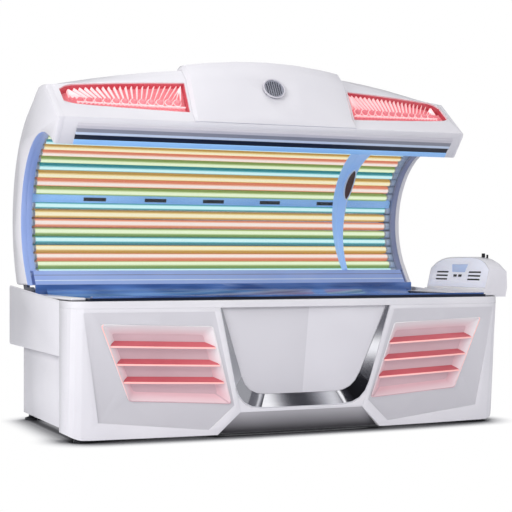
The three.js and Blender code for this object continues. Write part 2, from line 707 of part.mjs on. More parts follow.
function hingeArm() {
  const hinge = [HINGE_Y, hingeZ - tunnelHeight];
  const lug = [hinge[0] + SPRING_LUG.y, hinge[1] + SPRING_LUG.z];
  const neckInner = reflectorInner + ARM_GAP + ARM_NECK_GAP;
  const neckOuter = shellRadius - SHELL_WALL - ARM_GAP / 2 - ARM_NECK_GAP;
  const root = band(neckInner - ARM_NECK_GAP, neckOuter + ARM_NECK_GAP, shellLow + 4, -6, 6);
  const neck = [polar(neckInner, shellLow + 8), polar(neckOuter, shellLow + 8)];
  const web = [[hinge[0] + 30, hinge[1] - 8], neck[1], neck[0], [hinge[0] - 24, hinge[1] + 20]];
  const toe = [
    [lug[0], lug[1] - 16], [hinge[0], hinge[1] - 30], [hinge[0], hinge[1] + 30], [lug[0], lug[1] + 16],
  ];
  const plate = (outline) => alongX(outline, armInner, canopyHalf);
  const arm = joined(
    plate(root), plate(web), plate(toe), rodX(32, armInner, canopyHalf, ...hinge, 14),
    rodX(16, armInner, canopyHalf, ...lug, 14),
    rodX(STUD_RADIUS, springInner - 2, armInner + 2, ...lug, 12));
  return cut(arm, rodX(PIN_RADIUS + FIT, armInner - 1, canopyHalf + 1, ...hinge, 14));
}

function hingePin() {
  return joined(
    rodX(PIN_RADIUS, bracketInner - 2, canopyHalf - 1, HINGE_Y, hingeZ, 14),
    rodX(PIN_RADIUS * 1.5, bracketInner - SEAT - 6, bracketInner - SEAT, HINGE_Y, hingeZ, 14));
}

function hingeBracket() {
  const foot = [HINGE_Y + SPRING_FOOT.y, hingeZ + SPRING_FOOT.z];
  const outline = [
    [foot[0] - 24, frameTop + SEAT], [HINGE_Y + 34, frameTop + SEAT], [HINGE_Y + 34, hingeZ],
    [HINGE_Y - 30, hingeZ], [HINGE_Y - 30, hingeZ - BRACKET_NECK],
    [foot[0] - 24, foot[1] + BRACKET_SHOULDER],
  ];
  const plate = joined(
    alongX(outline, bracketInner, bracketOuter), rodX(34, bracketInner, bracketOuter, HINGE_Y, hingeZ, 14),
    rodX(STUD_RADIUS, springInner - 2, bracketInner + 2, ...foot, 12));
  return cut(plate, rodX(PIN_RADIUS + SEAT, bracketInner - 1, bracketOuter + 1, HINGE_Y, hingeZ, 14));
}

// Gas spring along its own axis, then turned to run from its foot to the lug on the arm
const springFoot = [HINGE_Y + SPRING_FOOT.y, hingeZ + SPRING_FOOT.z];
const springLug = [HINGE_Y + SPRING_LUG.y, hingeZ + SPRING_LUG.z];
const springLength = Math.hypot(springLug[0] - springFoot[0], springLug[1] - springFoot[1]);
const springTurn = Math.atan2(springFoot[0] - springLug[0], springLug[1] - springFoot[1]);
const springMid = (springInner + springOuter) / 2;
const cylinderEnd = springLength * 0.58;
const rodStart = springLength * 0.25;

function onSpringAxis(geometry) {
  return geometry.rotateX(springTurn).translate(0, springFoot[0], springFoot[1]);
}

function springCylinder() {
  const start = SPRING_RADIUS * 0.9;
  const bore = ROD_RADIUS + FIT;
  const profile = [
    [0, start], [SPRING_RADIUS, start + 6], [SPRING_RADIUS, cylinderEnd], [bore, cylinderEnd],
    [bore, start + 14], [0, start + 14],
  ].map((p) => new THREE.Vector2(...p));
  const tube = new THREE.LatheGeometry(profile, 14).rotateX(Math.PI / 2).translate(springMid, 0, 0);
  const eye = rodX(SPRING_RADIUS, springInner, springOuter, 0, 0, 16);
  const hole = rodX(STUD_RADIUS + FIT, springInner - 1, springOuter + 1, 0, 0, 12);
  return onSpringAxis(cut(joined(tube, eye), hole));
}

function springRod() {
  const length = springLength - rodStart;
  const shaft = length - STUD_RADIUS - 1.5 * EYE_PLAY;
  const rod = new THREE.CylinderGeometry(ROD_RADIUS, ROD_RADIUS, shaft, 12);
  rod.rotateX(Math.PI / 2).translate(springMid, 0, rodStart + shaft / 2);
  const eye = rodX(STUD_RADIUS + 2 * EYE_PLAY, springInner, springOuter, 0, springLength, 16);
  const hole = rodX(STUD_RADIUS + EYE_PLAY, springInner - 1, springOuter + 1, 0, springLength, 16);
  return onSpringAxis(cut(joined(rod, eye), hole));
}

// Front of the base: half of the plan line at the deck, then the whole line at a height
function frontLine(z) {
  const straight = baseHalf - CORNER_RADIUS;
  const bow = (x) => FRONT_Y + (x * x) / (2 * BOW_RADIUS);
  const bowPoints = [0, 0.35, 0.7, 1].map((share) => [straight * share, bow(straight * share)]);
  const corner = new THREE.QuadraticBezierCurve(
    new THREE.Vector2(straight, bow(straight)), new THREE.Vector2(baseHalf, bow(straight) + 6),
    new THREE.Vector2(baseHalf, bow(straight) + CORNER_RADIUS));
  const cornerPoints = corner.getPoints(4).slice(1).map((p) => [p.x, p.y]);
  const depth = sideReturnY - FRONT_Y;
  const keep = 1 - (UNDERCUT * (DECK_LOW - z)) / DECK_LOW / depth;
  const half = [...bowPoints, ...cornerPoints, [baseHalf, sideReturnY]].map(
    ([x, y]) => [x, sideReturnY + (y - sideReturnY) * keep]);
  return [...half.slice(1).reverse().map(([x, y]) => [-x, y]), ...half];
}

const panelTop = DECK_LOW - SEAT;

// A curved wall that follows the front, between two depths behind its face
function frontWall(near, far) {
  const ring = (z) => {
    const line = frontLine(z);
    return ringAtZ([...offset(line, near), ...offset(line, far).reverse()], z);
  };
  return loft([ring(PANEL_FOOT), ring(panelTop)]);
}

const throughFront = (outline, holes) =>
  alongY(outline, FRONT_Y - SIDE_RETURN, FRONT_Y + 2 * SIDE_RETURN, holes);

function centreEdge(gap) {
  return [
    [CENTRE_TOP_HALF - gap, DECK_LOW], [CENTRE_WAIST_HALF - gap, CENTRE_WAIST_Z],
    [CENTRE_FOOT_HALF - gap, PANEL_FOOT - 1],
  ];
}

const windowTop = { outer: fromEnd(WINDOW.outerTop), inner: WINDOW.innerTop };
const windowLow = { outer: fromEnd(WINDOW.outerLow), inner: WINDOW.innerLow };
const windowOutline = counterClockwise(
  [windowTop.outer, windowTop.inner, windowLow.inner, windowLow.outer]);
const windowInset = (gap) => rounded(inset(windowOutline, gap), WINDOW_CORNER, 2);

// Flat facet on the panel's face, deepest at its foot
function facetCutter() {
  const ring = (z, depth) => {
    const line = frontLine(z);
    return ringAtZ([...offset(line, -FRONT_WALL), ...offset(line, depth).reverse()], z);
  };
  const wedge = loft([ring(PANEL_FOOT, FACET_DEPTH), ring(DECK_LOW, SEAT)]);
  const outer = [FACET.outerTop, FACET.outerLow].map(fromEnd);
  const outline = [...outer, FACET.foot, FACET.innerLow, FACET.innerTop];
  return common(wedge, throughFront(counterClockwise(outline)));
}

function frontPanel() {
  const edge = centreEdge(0);
  const outline = [...edge, [baseHalf + 50, PANEL_FOOT - 1], [baseHalf + 50, DECK_LOW]];
  const face = common(frontWall(0, FRONT_WALL), throughFront(counterClockwise(outline)));
  const flange = common(frontWall(0, PANEL_FLANGE), throughFront(strip(edge, PANEL_WALL)));
  return cut(joined(face, flange), throughFront(windowInset(0)), facetCutter());
}

// Moulded louvre: a tray with sloping walls behind the window and slats that lean back into it
const slatLean = (a, b) => (a[0] - b[0]) / (a[1] - b[1]);

function slatEnds(row) {
  const drop = SLAT_TOP_GAP + row * SLAT_PITCH;
  const outer = windowTop.outer[0] - slatLean(windowTop.outer, windowLow.outer) * drop - SLAT_MARGIN;
  const inner = windowTop.inner[0] - slatLean(windowTop.inner, windowLow.inner) * drop + SLAT_MARGIN;
  return { outer: [outer, windowTop.outer[1] - drop], inner: [inner, windowTop.inner[1] - drop] };
}

function slat(row) {
  const { outer, inner } = slatEnds(row);
  const slope = (outer[1] - inner[1]) / (outer[0] - inner[0]);
  const level = (x) => inner[1] + slope * (Math.abs(x) - inner[0]);
  const line = frontLine((outer[1] + inner[1]) / 2);
  const ring = (near, rise) => [...offset(line, near), ...offset(line, LOUVRE_DEPTH - 1).reverse()].map(
    ([x, y]) => new THREE.Vector3(x, y, level(x) + rise));
  const blade = loft([
    ring(LOUVRE_WALL, -SLAT_EDGE), ring(LOUVRE_WALL, 0), ring(LOUVRE_DEPTH - 2 * LOUVRE_WALL, SLAT_RISE)]);
  const outline = [
    [outer[0], outer[1] - 2 * SLAT_EDGE], outer, [outer[0] - LOUVRE_SLOPE, outer[1] + SLAT_RISE * 2],
    [inner[0] + LOUVRE_SLOPE, inner[1] + SLAT_RISE * 2], inner, [inner[0], inner[1] - 2 * SLAT_EDGE],
  ];
  return common(blade, throughFront(outline));
}

// A ring of points on the front, at a depth for each height
function onFront(outline, depthAt) {
  return outline.map(([x, z]) => {
    const keep = 1 - (UNDERCUT * (DECK_LOW - z)) / DECK_LOW / (sideReturnY - FRONT_Y);
    const bow = FRONT_Y + (x * x) / (2 * BOW_RADIUS);
    return new THREE.Vector3(x, sideReturnY + (bow - sideReturnY) * keep + depthAt(z), z);
  });
}

function louvreGrille() {
  const body = loft([
    onFront(windowInset(FIT), () => 1), onFront(windowInset(FIT), () => 1 + LOUVRE_WALL),
    onFront(windowInset(LOUVRE_SLOPE), () => LOUVRE_DEPTH)]);
  const hollow = loft([
    onFront(windowInset(FIT + LOUVRE_WALL), () => -LOUVRE_WALL),
    onFront(windowInset(FIT + LOUVRE_WALL), () => 1 + LOUVRE_WALL),
    onFront(windowInset(LOUVRE_SLOPE + LOUVRE_WALL), () => LOUVRE_DEPTH - LOUVRE_WALL)]);
  const slats = Array.from({ length: SLATS }, (_, row) => slat(row));
  return joined(cut(body, hollow), ...slats);
}

function symmetric(path) {
  return [...path, ...[...path].reverse().map(([x, z]) => [-x, z])];
}

// U-shaped trim: a bevel from the panels' face down to the recessed centre panel
const trimLow = CENTRE_WAIST_Z + TRIM_RIB;
const barTop = trimLow + TRIM_BAR;
const trimAbove = DECK_LOW + 2 * TRIM_CORNER;
const centreLean = (CENTRE_TOP_HALF - CENTRE_WAIST_HALF) / (DECK_LOW - CENTRE_WAIST_Z);
const edgeHalf = (z) => CENTRE_WAIST_HALF + centreLean * (z - CENTRE_WAIST_Z);
const recessAt = (z) =>
  CENTRE_TOP_RECESS + ((CENTRE_RECESS - CENTRE_TOP_RECESS) * (panelTop - z)) / (panelTop - barTop);

function trimOuter(gap) {
  const half = (z) => edgeHalf(z) - FIT - gap;
  const low = trimLow + gap;
  return rounded(symmetric([[half(trimAbove), trimAbove], [half(low), low]]), TRIM_CORNER);
}

function trimOpening(gap) {
  const top = CENTRE_TOP_HALF - TRIM_ARM_TOP - gap;
  const low = edgeHalf(barTop) - TRIM_ARM_LOW - gap;
  const above = top + ((top - low) / (DECK_LOW - barTop)) * (trimAbove - DECK_LOW);
  return rounded(symmetric([[above, trimAbove], [low, barTop + gap]]), TRIM_BEND);
}

function chromeTrim() {
  const far = TRIM_FACE + TRIM_DEPTH;
  const block = common(frontWall(TRIM_FACE, far), throughFront(trimOuter(0)));
  const bevel = loft([
    onFront(trimOuter(TRIM_LIP), () => -far), onFront(trimOuter(TRIM_LIP), () => TRIM_FACE),
    onFront(trimOpening(0), recessAt), onFront(trimOpening(0), () => 2 * far)]);
  return cut(block, bevel);
}

// A ring along the front at one height, between a depth and a wall behind it
function frontRing(z, depth, wall) {
  const line = frontLine(z);
  return ringAtZ([...offset(line, depth), ...offset(line, depth + wall).reverse()], z);
}

function centrePanel() {
  const low = frontRing(trimLow, recessAt(trimLow), PANEL_WALL);
  const wall = loft([low, frontRing(panelTop, recessAt(panelTop), PANEL_WALL)]);
  return common(wall, throughFront(trimOpening(FIT)));
}

// Rib under the trim and the kick recess that slopes back below it
function kickPlate() {
  const waist = CENTRE_WAIST_HALF - FIT;
  const top = CENTRE_WAIST_Z + KICK_WALL;
  const slope = loft([
    frontRing(PANEL_FOOT, KICK_DEPTH, KICK_WALL), frontRing(top, TRIM_FACE, KICK_WALL)]);
  const kick = symmetric([
    [waist, top], [waist, CENTRE_WAIST_Z], [CENTRE_FOOT_HALF - FIT, PANEL_FOOT - 1]]);
  const ribTop = trimLow + TRIM_CORNER * 0.8;
  const rib = symmetric([[edgeHalf(ribTop) - FIT, ribTop], [waist, CENTRE_WAIST_Z]]);
  const face = common(frontWall(TRIM_FACE, TRIM_FACE + PANEL_WALL), throughFront(rib));
  return joined(cut(face, throughFront(trimOuter(-FIT))), common(slope, throughFront(kick)));
}

// Deck round the bench, hollow from below
const deckHalf = baseHalf - PANEL_WALL - FIT;
const benchMid = (benchFront + benchBack) / 2;
const rimFront = benchFront - 4;
const rimBack = benchBack + 4;

function topDeck() {
  const outline = [
    ...frontLine(DECK_LOW), [deckHalf, sideReturnY], [deckHalf, DECK_BACK],
    [-deckHalf, DECK_BACK], [-deckHalf, sideReturnY],
  ];
  const ledge = BENCH_RIM_WIDTH / 2;
  const opening = { x: benchHalf + 7, front: rimFront + ledge, back: rimBack - ledge };
  const body = alongZ(outline, DECK_LOW, deckTop);
  const hole = box([-opening.x, opening.x], [opening.front, opening.back], [DECK_LOW - 1, deckTop + 1]);
  const inner = inset(counterClockwise(outline), DECK_WALL);
  const hollow = cut(
    alongZ(inner, DECK_LOW - 1, deckTop - DECK_WALL),
    box([-opening.x - DECK_WALL, opening.x + DECK_WALL],
      [opening.front - DECK_WALL, opening.back + DECK_WALL], [DECK_LOW - 2, deckTop + 1]));
  return cut(body, hole, hollow);
}

function benchRim() {
  const outer = { x: benchHalf + 1 + BENCH_RIM_WIDTH / 2, front: rimFront, back: rimBack };
  const rectangle = (x, front, back) => [[-x, front], [x, front], [x, back], [-x, back]];
  const low = deckTop + SEAT;
  const barFront = outer.back - BENCH_RIM_WIDTH;
  const underside = Math.sqrt((benchRadius + BENCH_WALL) ** 2 - (barFront - benchMid) ** 2);
  const barTop = benchAxis - underside - 2 * SEAT;
  const bar = box([-benchHalf, benchHalf], [barFront, outer.back - 1], [low + 1, barTop]);
  const ring = alongZ(
    rounded(rectangle(outer.x, outer.front, outer.back), 14), low, low + BENCH_RIM_HEIGHT,
    [rectangle(benchHalf + 1, outer.front + BENCH_RIM_WIDTH, barFront)]);
  return joined(ring, bar);
}

const benchEdge = deckTop + BENCH_RIM_HEIGHT + 2 * SEAT + BENCH_WALL;
const benchChord = (benchBack - benchFront) / 2 - BENCH_FLANGE;
const benchRadius = (benchChord ** 2 + BENCH_SAG ** 2) / (2 * BENCH_SAG);
const benchAxis = benchEdge - BENCH_SAG + benchRadius;
const benchLampRadius = benchRadius + BENCH_WALL + LAMP_AIR + lampRadius;

function benchArc(radius, halfAngle, steps) {
  return moved(arc(radius, -90 - halfAngle, -90 + halfAngle, steps), benchMid, benchAxis);
}

function benchAcrylic() {
  const half = Math.asin(benchChord / benchRadius) / RAD;
  const rear = Math.asin((benchBack + BENCH_REAR_REACH - benchMid) / benchRadius) / RAD;
  const sweep = moved(arc(benchRadius, -90 - half, -90 + rear, 18), benchMid, benchAxis);
  const path = [[benchFront, benchEdge], ...sweep];
  return alongX(strip(path, -BENCH_WALL), -benchHalf, benchHalf);
}

const benchLamps = Math.floor((2 * (benchChord - BENCH_LAMP_MARGIN)) / BENCH_LAMP_PITCH) + 1;
const trayInner = benchLampRadius + lampRadius + LAMP_AIR;
const trayChord = benchMid - rimFront - BENCH_RIM_WIDTH - 2;
const trayAngle = Math.asin(trayChord / trayInner) / RAD;

function benchTray() {
  const edge = deckTop - SEAT;
  const lip = 10;
  const path = [
    [benchMid - trayChord - lip, edge], [benchMid - trayChord, edge], ...benchArc(trayInner, trayAngle, 14),
    [benchMid + trayChord, edge], [benchMid + trayChord + lip, edge],
  ];
  return alongX(strip(path, -TRAY_WALL), -benchHalf, benchHalf);
}

function benchLampBank() {
  const step = BENCH_LAMP_PITCH / benchLampRadius / RAD;
  const half = ((benchLamps - 1) / 2) * step;
  const edge = lampRadius / benchLampRadius / RAD;
  const bar = moved(
    band(benchLampRadius - lampRadius, trayInner - 2 * SEAT, -90 - half - edge, -90 + half + edge, 14),
    benchMid, benchAxis);
  const end = benchHalf - 8;
  const start = end - RIM_WIDTH;
  const lamps = Array.from({ length: benchLamps }, (_, i) => {
    const [y, z] = polar(benchLampRadius, -90 - half + i * step);
    return rodX(lampRadius, -start - 1, start + 1, y + benchMid, z + benchAxis, 6);
  });
  return joined(alongX(bar, start, end), alongX(bar, -end, -start), ...lamps);
}

// Covers of the base
function sideCover() {
  const outline = [
    [sideReturnY + 1, COVER_FOOT], [rearCoverY + PANEL_WALL, COVER_FOOT],
    [rearCoverY + PANEL_WALL, WING_LOW - SEAT], [sideReturnY + 1, WING_LOW - SEAT],
  ];
  return alongX(outline, sideCoverHalf - PANEL_WALL, sideCoverHalf);
}

function sideWing() {
  const front = sideReturnY + 1;
  const outline = rounded([
    [front, WING_LOW], [wingBack, WING_LOW], [wingBack, deckTop + WING_RISE], [front, deckTop]], 16);
  const inside = sideCoverHalf - PANEL_WALL;
  const lip = 16;
  return joined(
    alongX(outline, baseHalf - PANEL_WALL, baseHalf),
    box([inside, baseHalf - 1], [front + lip, wingBack - lip], [WING_LOW, WING_LOW + PANEL_WALL]),
    box([inside, baseHalf - 1], [wingBack - PANEL_WALL, wingBack], [WING_LOW + lip, rearCoverTop]));
}

function rearCover() {
  const half = sideCoverHalf - PANEL_WALL - FIT;
  const out = rearCoverY + PANEL_WALL;
  const path = [[out, COVER_FOOT], [out, WING_LOW], [wingBack, WING_LOW], [wingBack, rearCoverTop]];
  const shelfHalf = springInner - PANEL_WALL;
  const shelf = box(
    [-shelfHalf, shelfHalf], [DECK_BACK + PANEL_WALL, wingBack - 1],
    [rearShelf - PANEL_WALL, rearShelf]);
  return joined(alongX(strip(path, PANEL_WALL), -half, half), shelf);
}

const frameHalf = sideCoverHalf - PANEL_WALL - SEAT;

function baseFrame() {
  const z = [FOOT_HEIGHT, frameTop];
  const across = (y) => box([-frameHalf + 1, frameHalf - 1], [y - TUBE_DEPTH / 2, y + TUBE_DEPTH / 2], z);
  const cross = (side) => {
    const x = side > 0 ? [frameHalf - TUBE, frameHalf] : [-frameHalf, TUBE - frameHalf];
    return box(x, [frameFront - TUBE_DEPTH / 2, frameBack + TUBE_DEPTH / 2], z);
  };
  const post = (side, y) => {
    const x = side > 0 ? [frameHalf - POST, frameHalf] : [-frameHalf, POST - frameHalf];
    return box(x, [y - POST / 2, y + POST / 2], [FOOT_HEIGHT + 5, deckTop - DECK_WALL - SEAT]);
  };
  const backPost = DECK_BACK - DECK_WALL - POST;
  return joined(
    across(frameFront), across(frameBack), cross(1), cross(-1),
    post(1, frameFront), post(-1, frameFront), post(1, backPost), post(-1, backPost));
}

function foot() {
  const top = FOOT_HEIGHT - SEAT;
  const stem = FOOT_RADIUS * 0.4;
  const profile = [[0, 0], [FOOT_RADIUS, 0], [FOOT_RADIUS, 10], [stem, 16], [stem, top], [0, top]];
  return new THREE.LatheGeometry(profile.map((p) => new THREE.Vector2(...p)), 14).rotateX(Math.PI / 2);
}

// Head console: arched across the bed and leaning back, hung on the outside of the right wing
const consoleStart = baseHalf + SEAT;
const consoleEnd = consoleStart + CONSOLE_LENGTH;
const faceFoot = consoleStart + FACE_SET;
const faceSlope = FACE_LEAN / (consoleTop - faceLow);
const faceX = (z) => faceFoot + faceSlope * (z - faceLow);

function consoleArch(gap) {
  const half = CONSOLE_WIDTH / 2 - gap;
  const crown = consoleTop - gap;
  const points = Array.from({ length: 13 }, (_, i) => {
    const share = i / 6 - 1;
    return [CONSOLE_MID - share * half, crown - CONSOLE_ARCH * share ** 4];
  });
  return [[CONSOLE_MID - half, consoleLow + gap], [CONSOLE_MID + half, consoleLow + gap], ...points];
}

const acrossConsole = (outline) =>
  alongY(counterClockwise(outline), CONSOLE_MID - CONSOLE_WIDTH, CONSOLE_MID + CONSOLE_WIDTH);
const throughConsole = (outline) => alongX(outline, consoleStart - 50, consoleEnd + 50);

function consoleHousing() {
  const above = consoleTop + 20;
  const side = [
    [consoleStart, consoleLow], [consoleEnd - 30, consoleLow], [consoleEnd, consoleLow + 46],
    [consoleEnd - 14, above], [faceX(above), above], [faceX(faceLow), faceLow], [consoleStart, faceLow],
  ];
  const floor = faceLow + 8;
  const hollow = [
    [faceX(floor), floor], [consoleEnd - 3 * CONSOLE_WALL, floor],
    [consoleEnd - 14 - 3 * CONSOLE_WALL, above], [faceX(above) - 20, above], [faceX(floor) - 20, floor],
  ];
  const body = common(acrossConsole(side), throughConsole(consoleArch(0)));
  const room = common(acrossConsole(hollow), throughConsole(consoleArch(CONSOLE_WALL)));
  const boss = (y) => rodX(FAN_HUB * 0.6, fanBack + SEAT, consoleEnd - CONSOLE_WALL, y, fanHeight, 12);
  const socket = rodX(
    leverRadius + FIT, leverStart - FIT, leverStart + LEVER.width + FIT, leverY, leverPivot, 16);
  return joined(cut(body, room, socket), ...fanPlaces.map(boss));
}

const ventLow = faceLow + CONSOLE_VENT.rise;
const fanHeight = ventLow + (CONSOLE_VENT.pitch * (CONSOLE_VENT.count - 1)) / 2;
const fanSpread = CONSOLE_WIDTH / 2 - CONSOLE_VENT.edge;
const fanPlaces = [CONSOLE_MID - fanSpread, CONSOLE_MID + fanSpread];
const fanFront = faceX(fanHeight + FAN_RADIUS) + 12;
const fanBack = fanFront + FAN_DEPTH;

function slab(near, far, outline) {
  const low = faceLow + 8 + FIT;
  const side = [
    [faceX(low) + near, low], [faceX(low) + far, low],
    [faceX(consoleTop) + far, consoleTop], [faceX(consoleTop) + near, consoleTop],
  ];
  return common(acrossConsole(side), throughConsole(outline));
}

const rectangle = (y, z, width, height) => [
  [y - width / 2, z - height / 2], [y + width / 2, z - height / 2],
  [y + width / 2, z + height / 2], [y - width / 2, z + height / 2],
];

const displayOutline = (gap) => {
  const half = DISPLAY.width / 2 + gap;
  const low = faceLow + DISPLAY.rise;
  const z = [low - gap, low + DISPLAY.height + gap];
  return [[CONSOLE_MID - half * 0.8, z[0]], [CONSOLE_MID + half * 0.8, z[0]],
    [CONSOLE_MID + half, z[1]], [CONSOLE_MID - half, z[1]]];
};
const buttonPlaces = [CONSOLE_MID - BUTTON.spacing / 2, CONSOLE_MID + BUTTON.spacing / 2];
const buttonOutline = (y, gap) =>
  rectangle(y, faceLow + BUTTON.rise, BUTTON.width + 2 * gap, BUTTON.height + 2 * gap);

function consoleFace() {
  const openings = [displayOutline(FIT), ...buttonPlaces.map((y) => buttonOutline(y, FIT))];
  for (const y of fanPlaces) {
    for (let row = 0; row < CONSOLE_VENT.count; row += 1) {
      const z = ventLow + row * CONSOLE_VENT.pitch;
      openings.push(rectangle(y, z, CONSOLE_VENT.width, CONSOLE_VENT.height));
    }
  }
  const plate = slab(0, CONSOLE_WALL, consoleArch(CONSOLE_WALL + FIT));
  return cut(plate, ...openings.map(throughConsole));
}

const consoleDisplay = () => slab(1, CONSOLE_WALL + 8, displayOutline(0));
const consoleButton = (y) => slab(-3, CONSOLE_WALL + 6, buttonOutline(y, 0));

// A row of blades round a hub, turning about an axis along X
function fan(y) {
  const hub = rodX(FAN_HUB, fanFront, fanBack, 0, 0, 14);
  const blades = Array.from({ length: FAN_BLADES }, (_, i) => {
    const blade = new THREE.BoxGeometry(FAN_DEPTH * 0.9, 2, FAN_RADIUS - FAN_HUB + 3);
    blade.rotateZ(35 * RAD).translate((fanFront + fanBack) / 2, 0, (FAN_RADIUS + FAN_HUB - 3) / 2);
    return blade.rotateX((i * 2 * Math.PI) / FAN_BLADES);
  });
  return joined(hub, ...blades).translate(0, y, fanHeight);
}

const consoleTopAt = (y) =>
  consoleTop - CONSOLE_ARCH * ((y - CONSOLE_MID) / (CONSOLE_WIDTH / 2)) ** 4;

const leverY = CONSOLE_MID + LEVER.side;
const leverStart = consoleStart + LEVER.x;
const leverRadius = LEVER.width / 2;
const leverPivot = consoleTopAt(leverY) + leverRadius - LEVER.sunk;

function consoleLever() {
  const round = moved(arc(leverRadius, 180, 360, 8), leverY, leverPivot);
  const top = leverPivot + LEVER.height;
  const outline = [...round, [leverY + leverRadius * 0.7, top], [leverY - leverRadius * 0.7, top]];
  return alongX(outline, leverStart, leverStart + LEVER.width);
}

// Assembly: canopy
const acrossCanopy = (outline) => alongX(outline, -canopyHalf, canopyHalf);
const shellBand = band(shellRadius - SHELL_WALL, shellRadius, shellLow, SHELL_TOP_ANGLE, 20);
const reflectorBand = band(reflectorInner, reflectorInner + REFLECTOR_WALL, arcLow, arcHigh, ARC_STEPS);
const acrylicBand = band(acrylicInner, acrylicOuter, arcLow, arcHigh, ARC_STEPS);
const rimBand = band(rimInner, rimOuter, arcLow, arcHigh, ARC_STEPS);
add(canopy, 'canopy_shell', acrossCanopy(shellBand), 'white');
add(canopy, 'canopy_hood', canopyHood(), 'white');
add(canopy, 'canopy_cap', canopyCap(), 'white');
add(canopy, 'speaker_grille', speakerGrille(), 'silver');
addPair(canopy, 'canopy_end', endCap(), 'white');
addPair(canopy, 'tunnel_rim', alongX(rimBand, lampEnd, canopyHalf), 'blue');
add(canopy, 'lip_rail', lipRail(), 'silver');
add(canopy, 'bottom_rail', bottomRail(), 'blue');
add(canopy, 'canopy_acrylic', acrossCanopy(acrylicBand), 'acrylic');
add(canopy, 'canopy_reflector', acrossCanopy(reflectorBand), 'reflector');
add(canopy, 'upper_lamp_bank', lampBank(upperAngles), 'lamp');
add(canopy, 'lower_lamp_bank', lampBank(lowerAngles), 'lamp');
add(canopy, 'vent_strip', ventStrip(), 'blue');
add(canopy, 'divider_arch', dividerArch(), 'blue');
addPair(canopy, 'light_lens', lensBar(lensStations, -HOOD_WALL, LENS_PROUD, 0), 'lens');
addPair(canopy, 'light_tray', lightTray(), 'reflector');
addPair(canopy, 'hinge_arm', hingeArm(), 'steel');

// Assembly: base
addPair(bed, 'hinge_bracket', hingeBracket(), 'steel');
addPair(bed, 'hinge_pin', hingePin(), 'steel');
addPair(bed, 'spring_cylinder', springCylinder(), 'dark');
addPair(bed, 'spring_rod', springRod(), 'steel');
addPair(bed, 'front_panel', frontPanel(), 'panel');
addPair(bed, 'louvre_grille', louvreGrille(), 'red');
add(bed, 'chrome_trim', chromeTrim(), 'chrome');
add(bed, 'front_centre_panel', centrePanel(), 'panel');
add(bed, 'kick_plate', kickPlate(), 'panel');
add(bed, 'top_deck', topDeck(), 'white');
add(bed, 'bench_rim', benchRim(), 'navy');
add(bed, 'bench_acrylic', benchAcrylic(), 'acrylic');
add(bed, 'bench_tray', benchTray(), 'reflector');
add(bed, 'bench_lamp_bank', benchLampBank(), 'lamp');
addPair(bed, 'side_cover', sideCover(), 'white');
addPair(bed, 'side_wing', sideWing(), 'white');
add(bed, 'rear_cover', rearCover(), 'white');
add(bed, 'base_frame', baseFrame(), 'steel');
for (const [name, y] of [['front', frameFront], ['rear', frameBack]]) {
  addPair(bed, `foot_${name}`, foot().translate(frameHalf - TUBE / 2, y, 0), 'dark');
}
add(bed, 'console_housing', consoleHousing(), 'white');
add(bed, 'console_face', consoleFace(), 'silver');
add(bed, 'console_display', consoleDisplay(), 'display');
buttonPlaces.forEach((y, i) => add(bed, `console_button_${i + 1}`, consoleButton(y), 'dark'));
fanPlaces.forEach((y, i) => add(bed, `console_fan_${i + 1}`, fan(y), 'dark'));
add(bed, 'console_lever', consoleLever(), 'dark');

bed.position.set((baseHalf - consoleEnd) / 2, -(FRONT_Y + wingBack) / 2, 0);

export default bed;
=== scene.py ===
"""Clamshell tanning bed: the finishes, the visual pieces, the camera and the studio."""

import json
import logging
import math
from dataclasses import dataclass, field
from enum import Enum
from typing import Callable, Iterable, Sequence

import bpy
from mathutils import Matrix, Vector


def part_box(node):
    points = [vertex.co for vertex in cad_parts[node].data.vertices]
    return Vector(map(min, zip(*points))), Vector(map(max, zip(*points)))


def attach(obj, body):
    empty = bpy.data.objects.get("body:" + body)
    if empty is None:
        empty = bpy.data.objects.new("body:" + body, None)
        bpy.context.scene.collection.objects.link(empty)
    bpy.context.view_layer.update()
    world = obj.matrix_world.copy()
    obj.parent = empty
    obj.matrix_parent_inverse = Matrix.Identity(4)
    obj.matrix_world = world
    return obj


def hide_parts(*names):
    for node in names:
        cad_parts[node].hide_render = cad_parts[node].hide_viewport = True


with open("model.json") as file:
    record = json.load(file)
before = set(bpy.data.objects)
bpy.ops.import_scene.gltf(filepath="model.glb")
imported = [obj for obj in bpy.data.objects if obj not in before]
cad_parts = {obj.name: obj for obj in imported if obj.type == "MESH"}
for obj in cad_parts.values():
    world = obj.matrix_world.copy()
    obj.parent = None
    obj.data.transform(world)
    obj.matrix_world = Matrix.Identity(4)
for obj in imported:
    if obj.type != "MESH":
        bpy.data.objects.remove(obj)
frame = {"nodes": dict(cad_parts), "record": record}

LOG = logging.getLogger("tanning_bed")
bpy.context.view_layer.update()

# The CAD file's working origin, in metres: the middle of the bench and the axis of the lamp tunnel.
BENCH_X = -0.10515
TUNNEL_Y = 0.0355
TUNNEL_Z = 0.95
# How far the louvres fall back, along Y, for each step along X away from the middle.
LOUVRE_SLOPE = 0.0714


class Body(Enum):
    """The moving bodies that a piece can ride on."""

    BASE = "base"
    CANOPY = "canopy"
    LEVER = "console_lever"


class Slot(Enum):
    """The material slots of the record."""

    WHITE = "white"
    PANEL = "panel"
    SILVER = "silver"
    CHROME = "chrome"
    BLUE = "blue"
    NAVY = "navy"
    DARK = "dark"
    ACRYLIC = "acrylic"
    LAMP = "lamp"
    REFLECTOR = "reflector"
    RED = "red"
    LENS = "lens"
    STEEL = "steel"
    DISPLAY = "display"


class LampTint(Enum):
    """The coatings of the lamp glass, in the order in which they repeat down the canopy."""

    YELLOW = 0
    PINK = 1
    GREEN = 2
    CYAN = 3


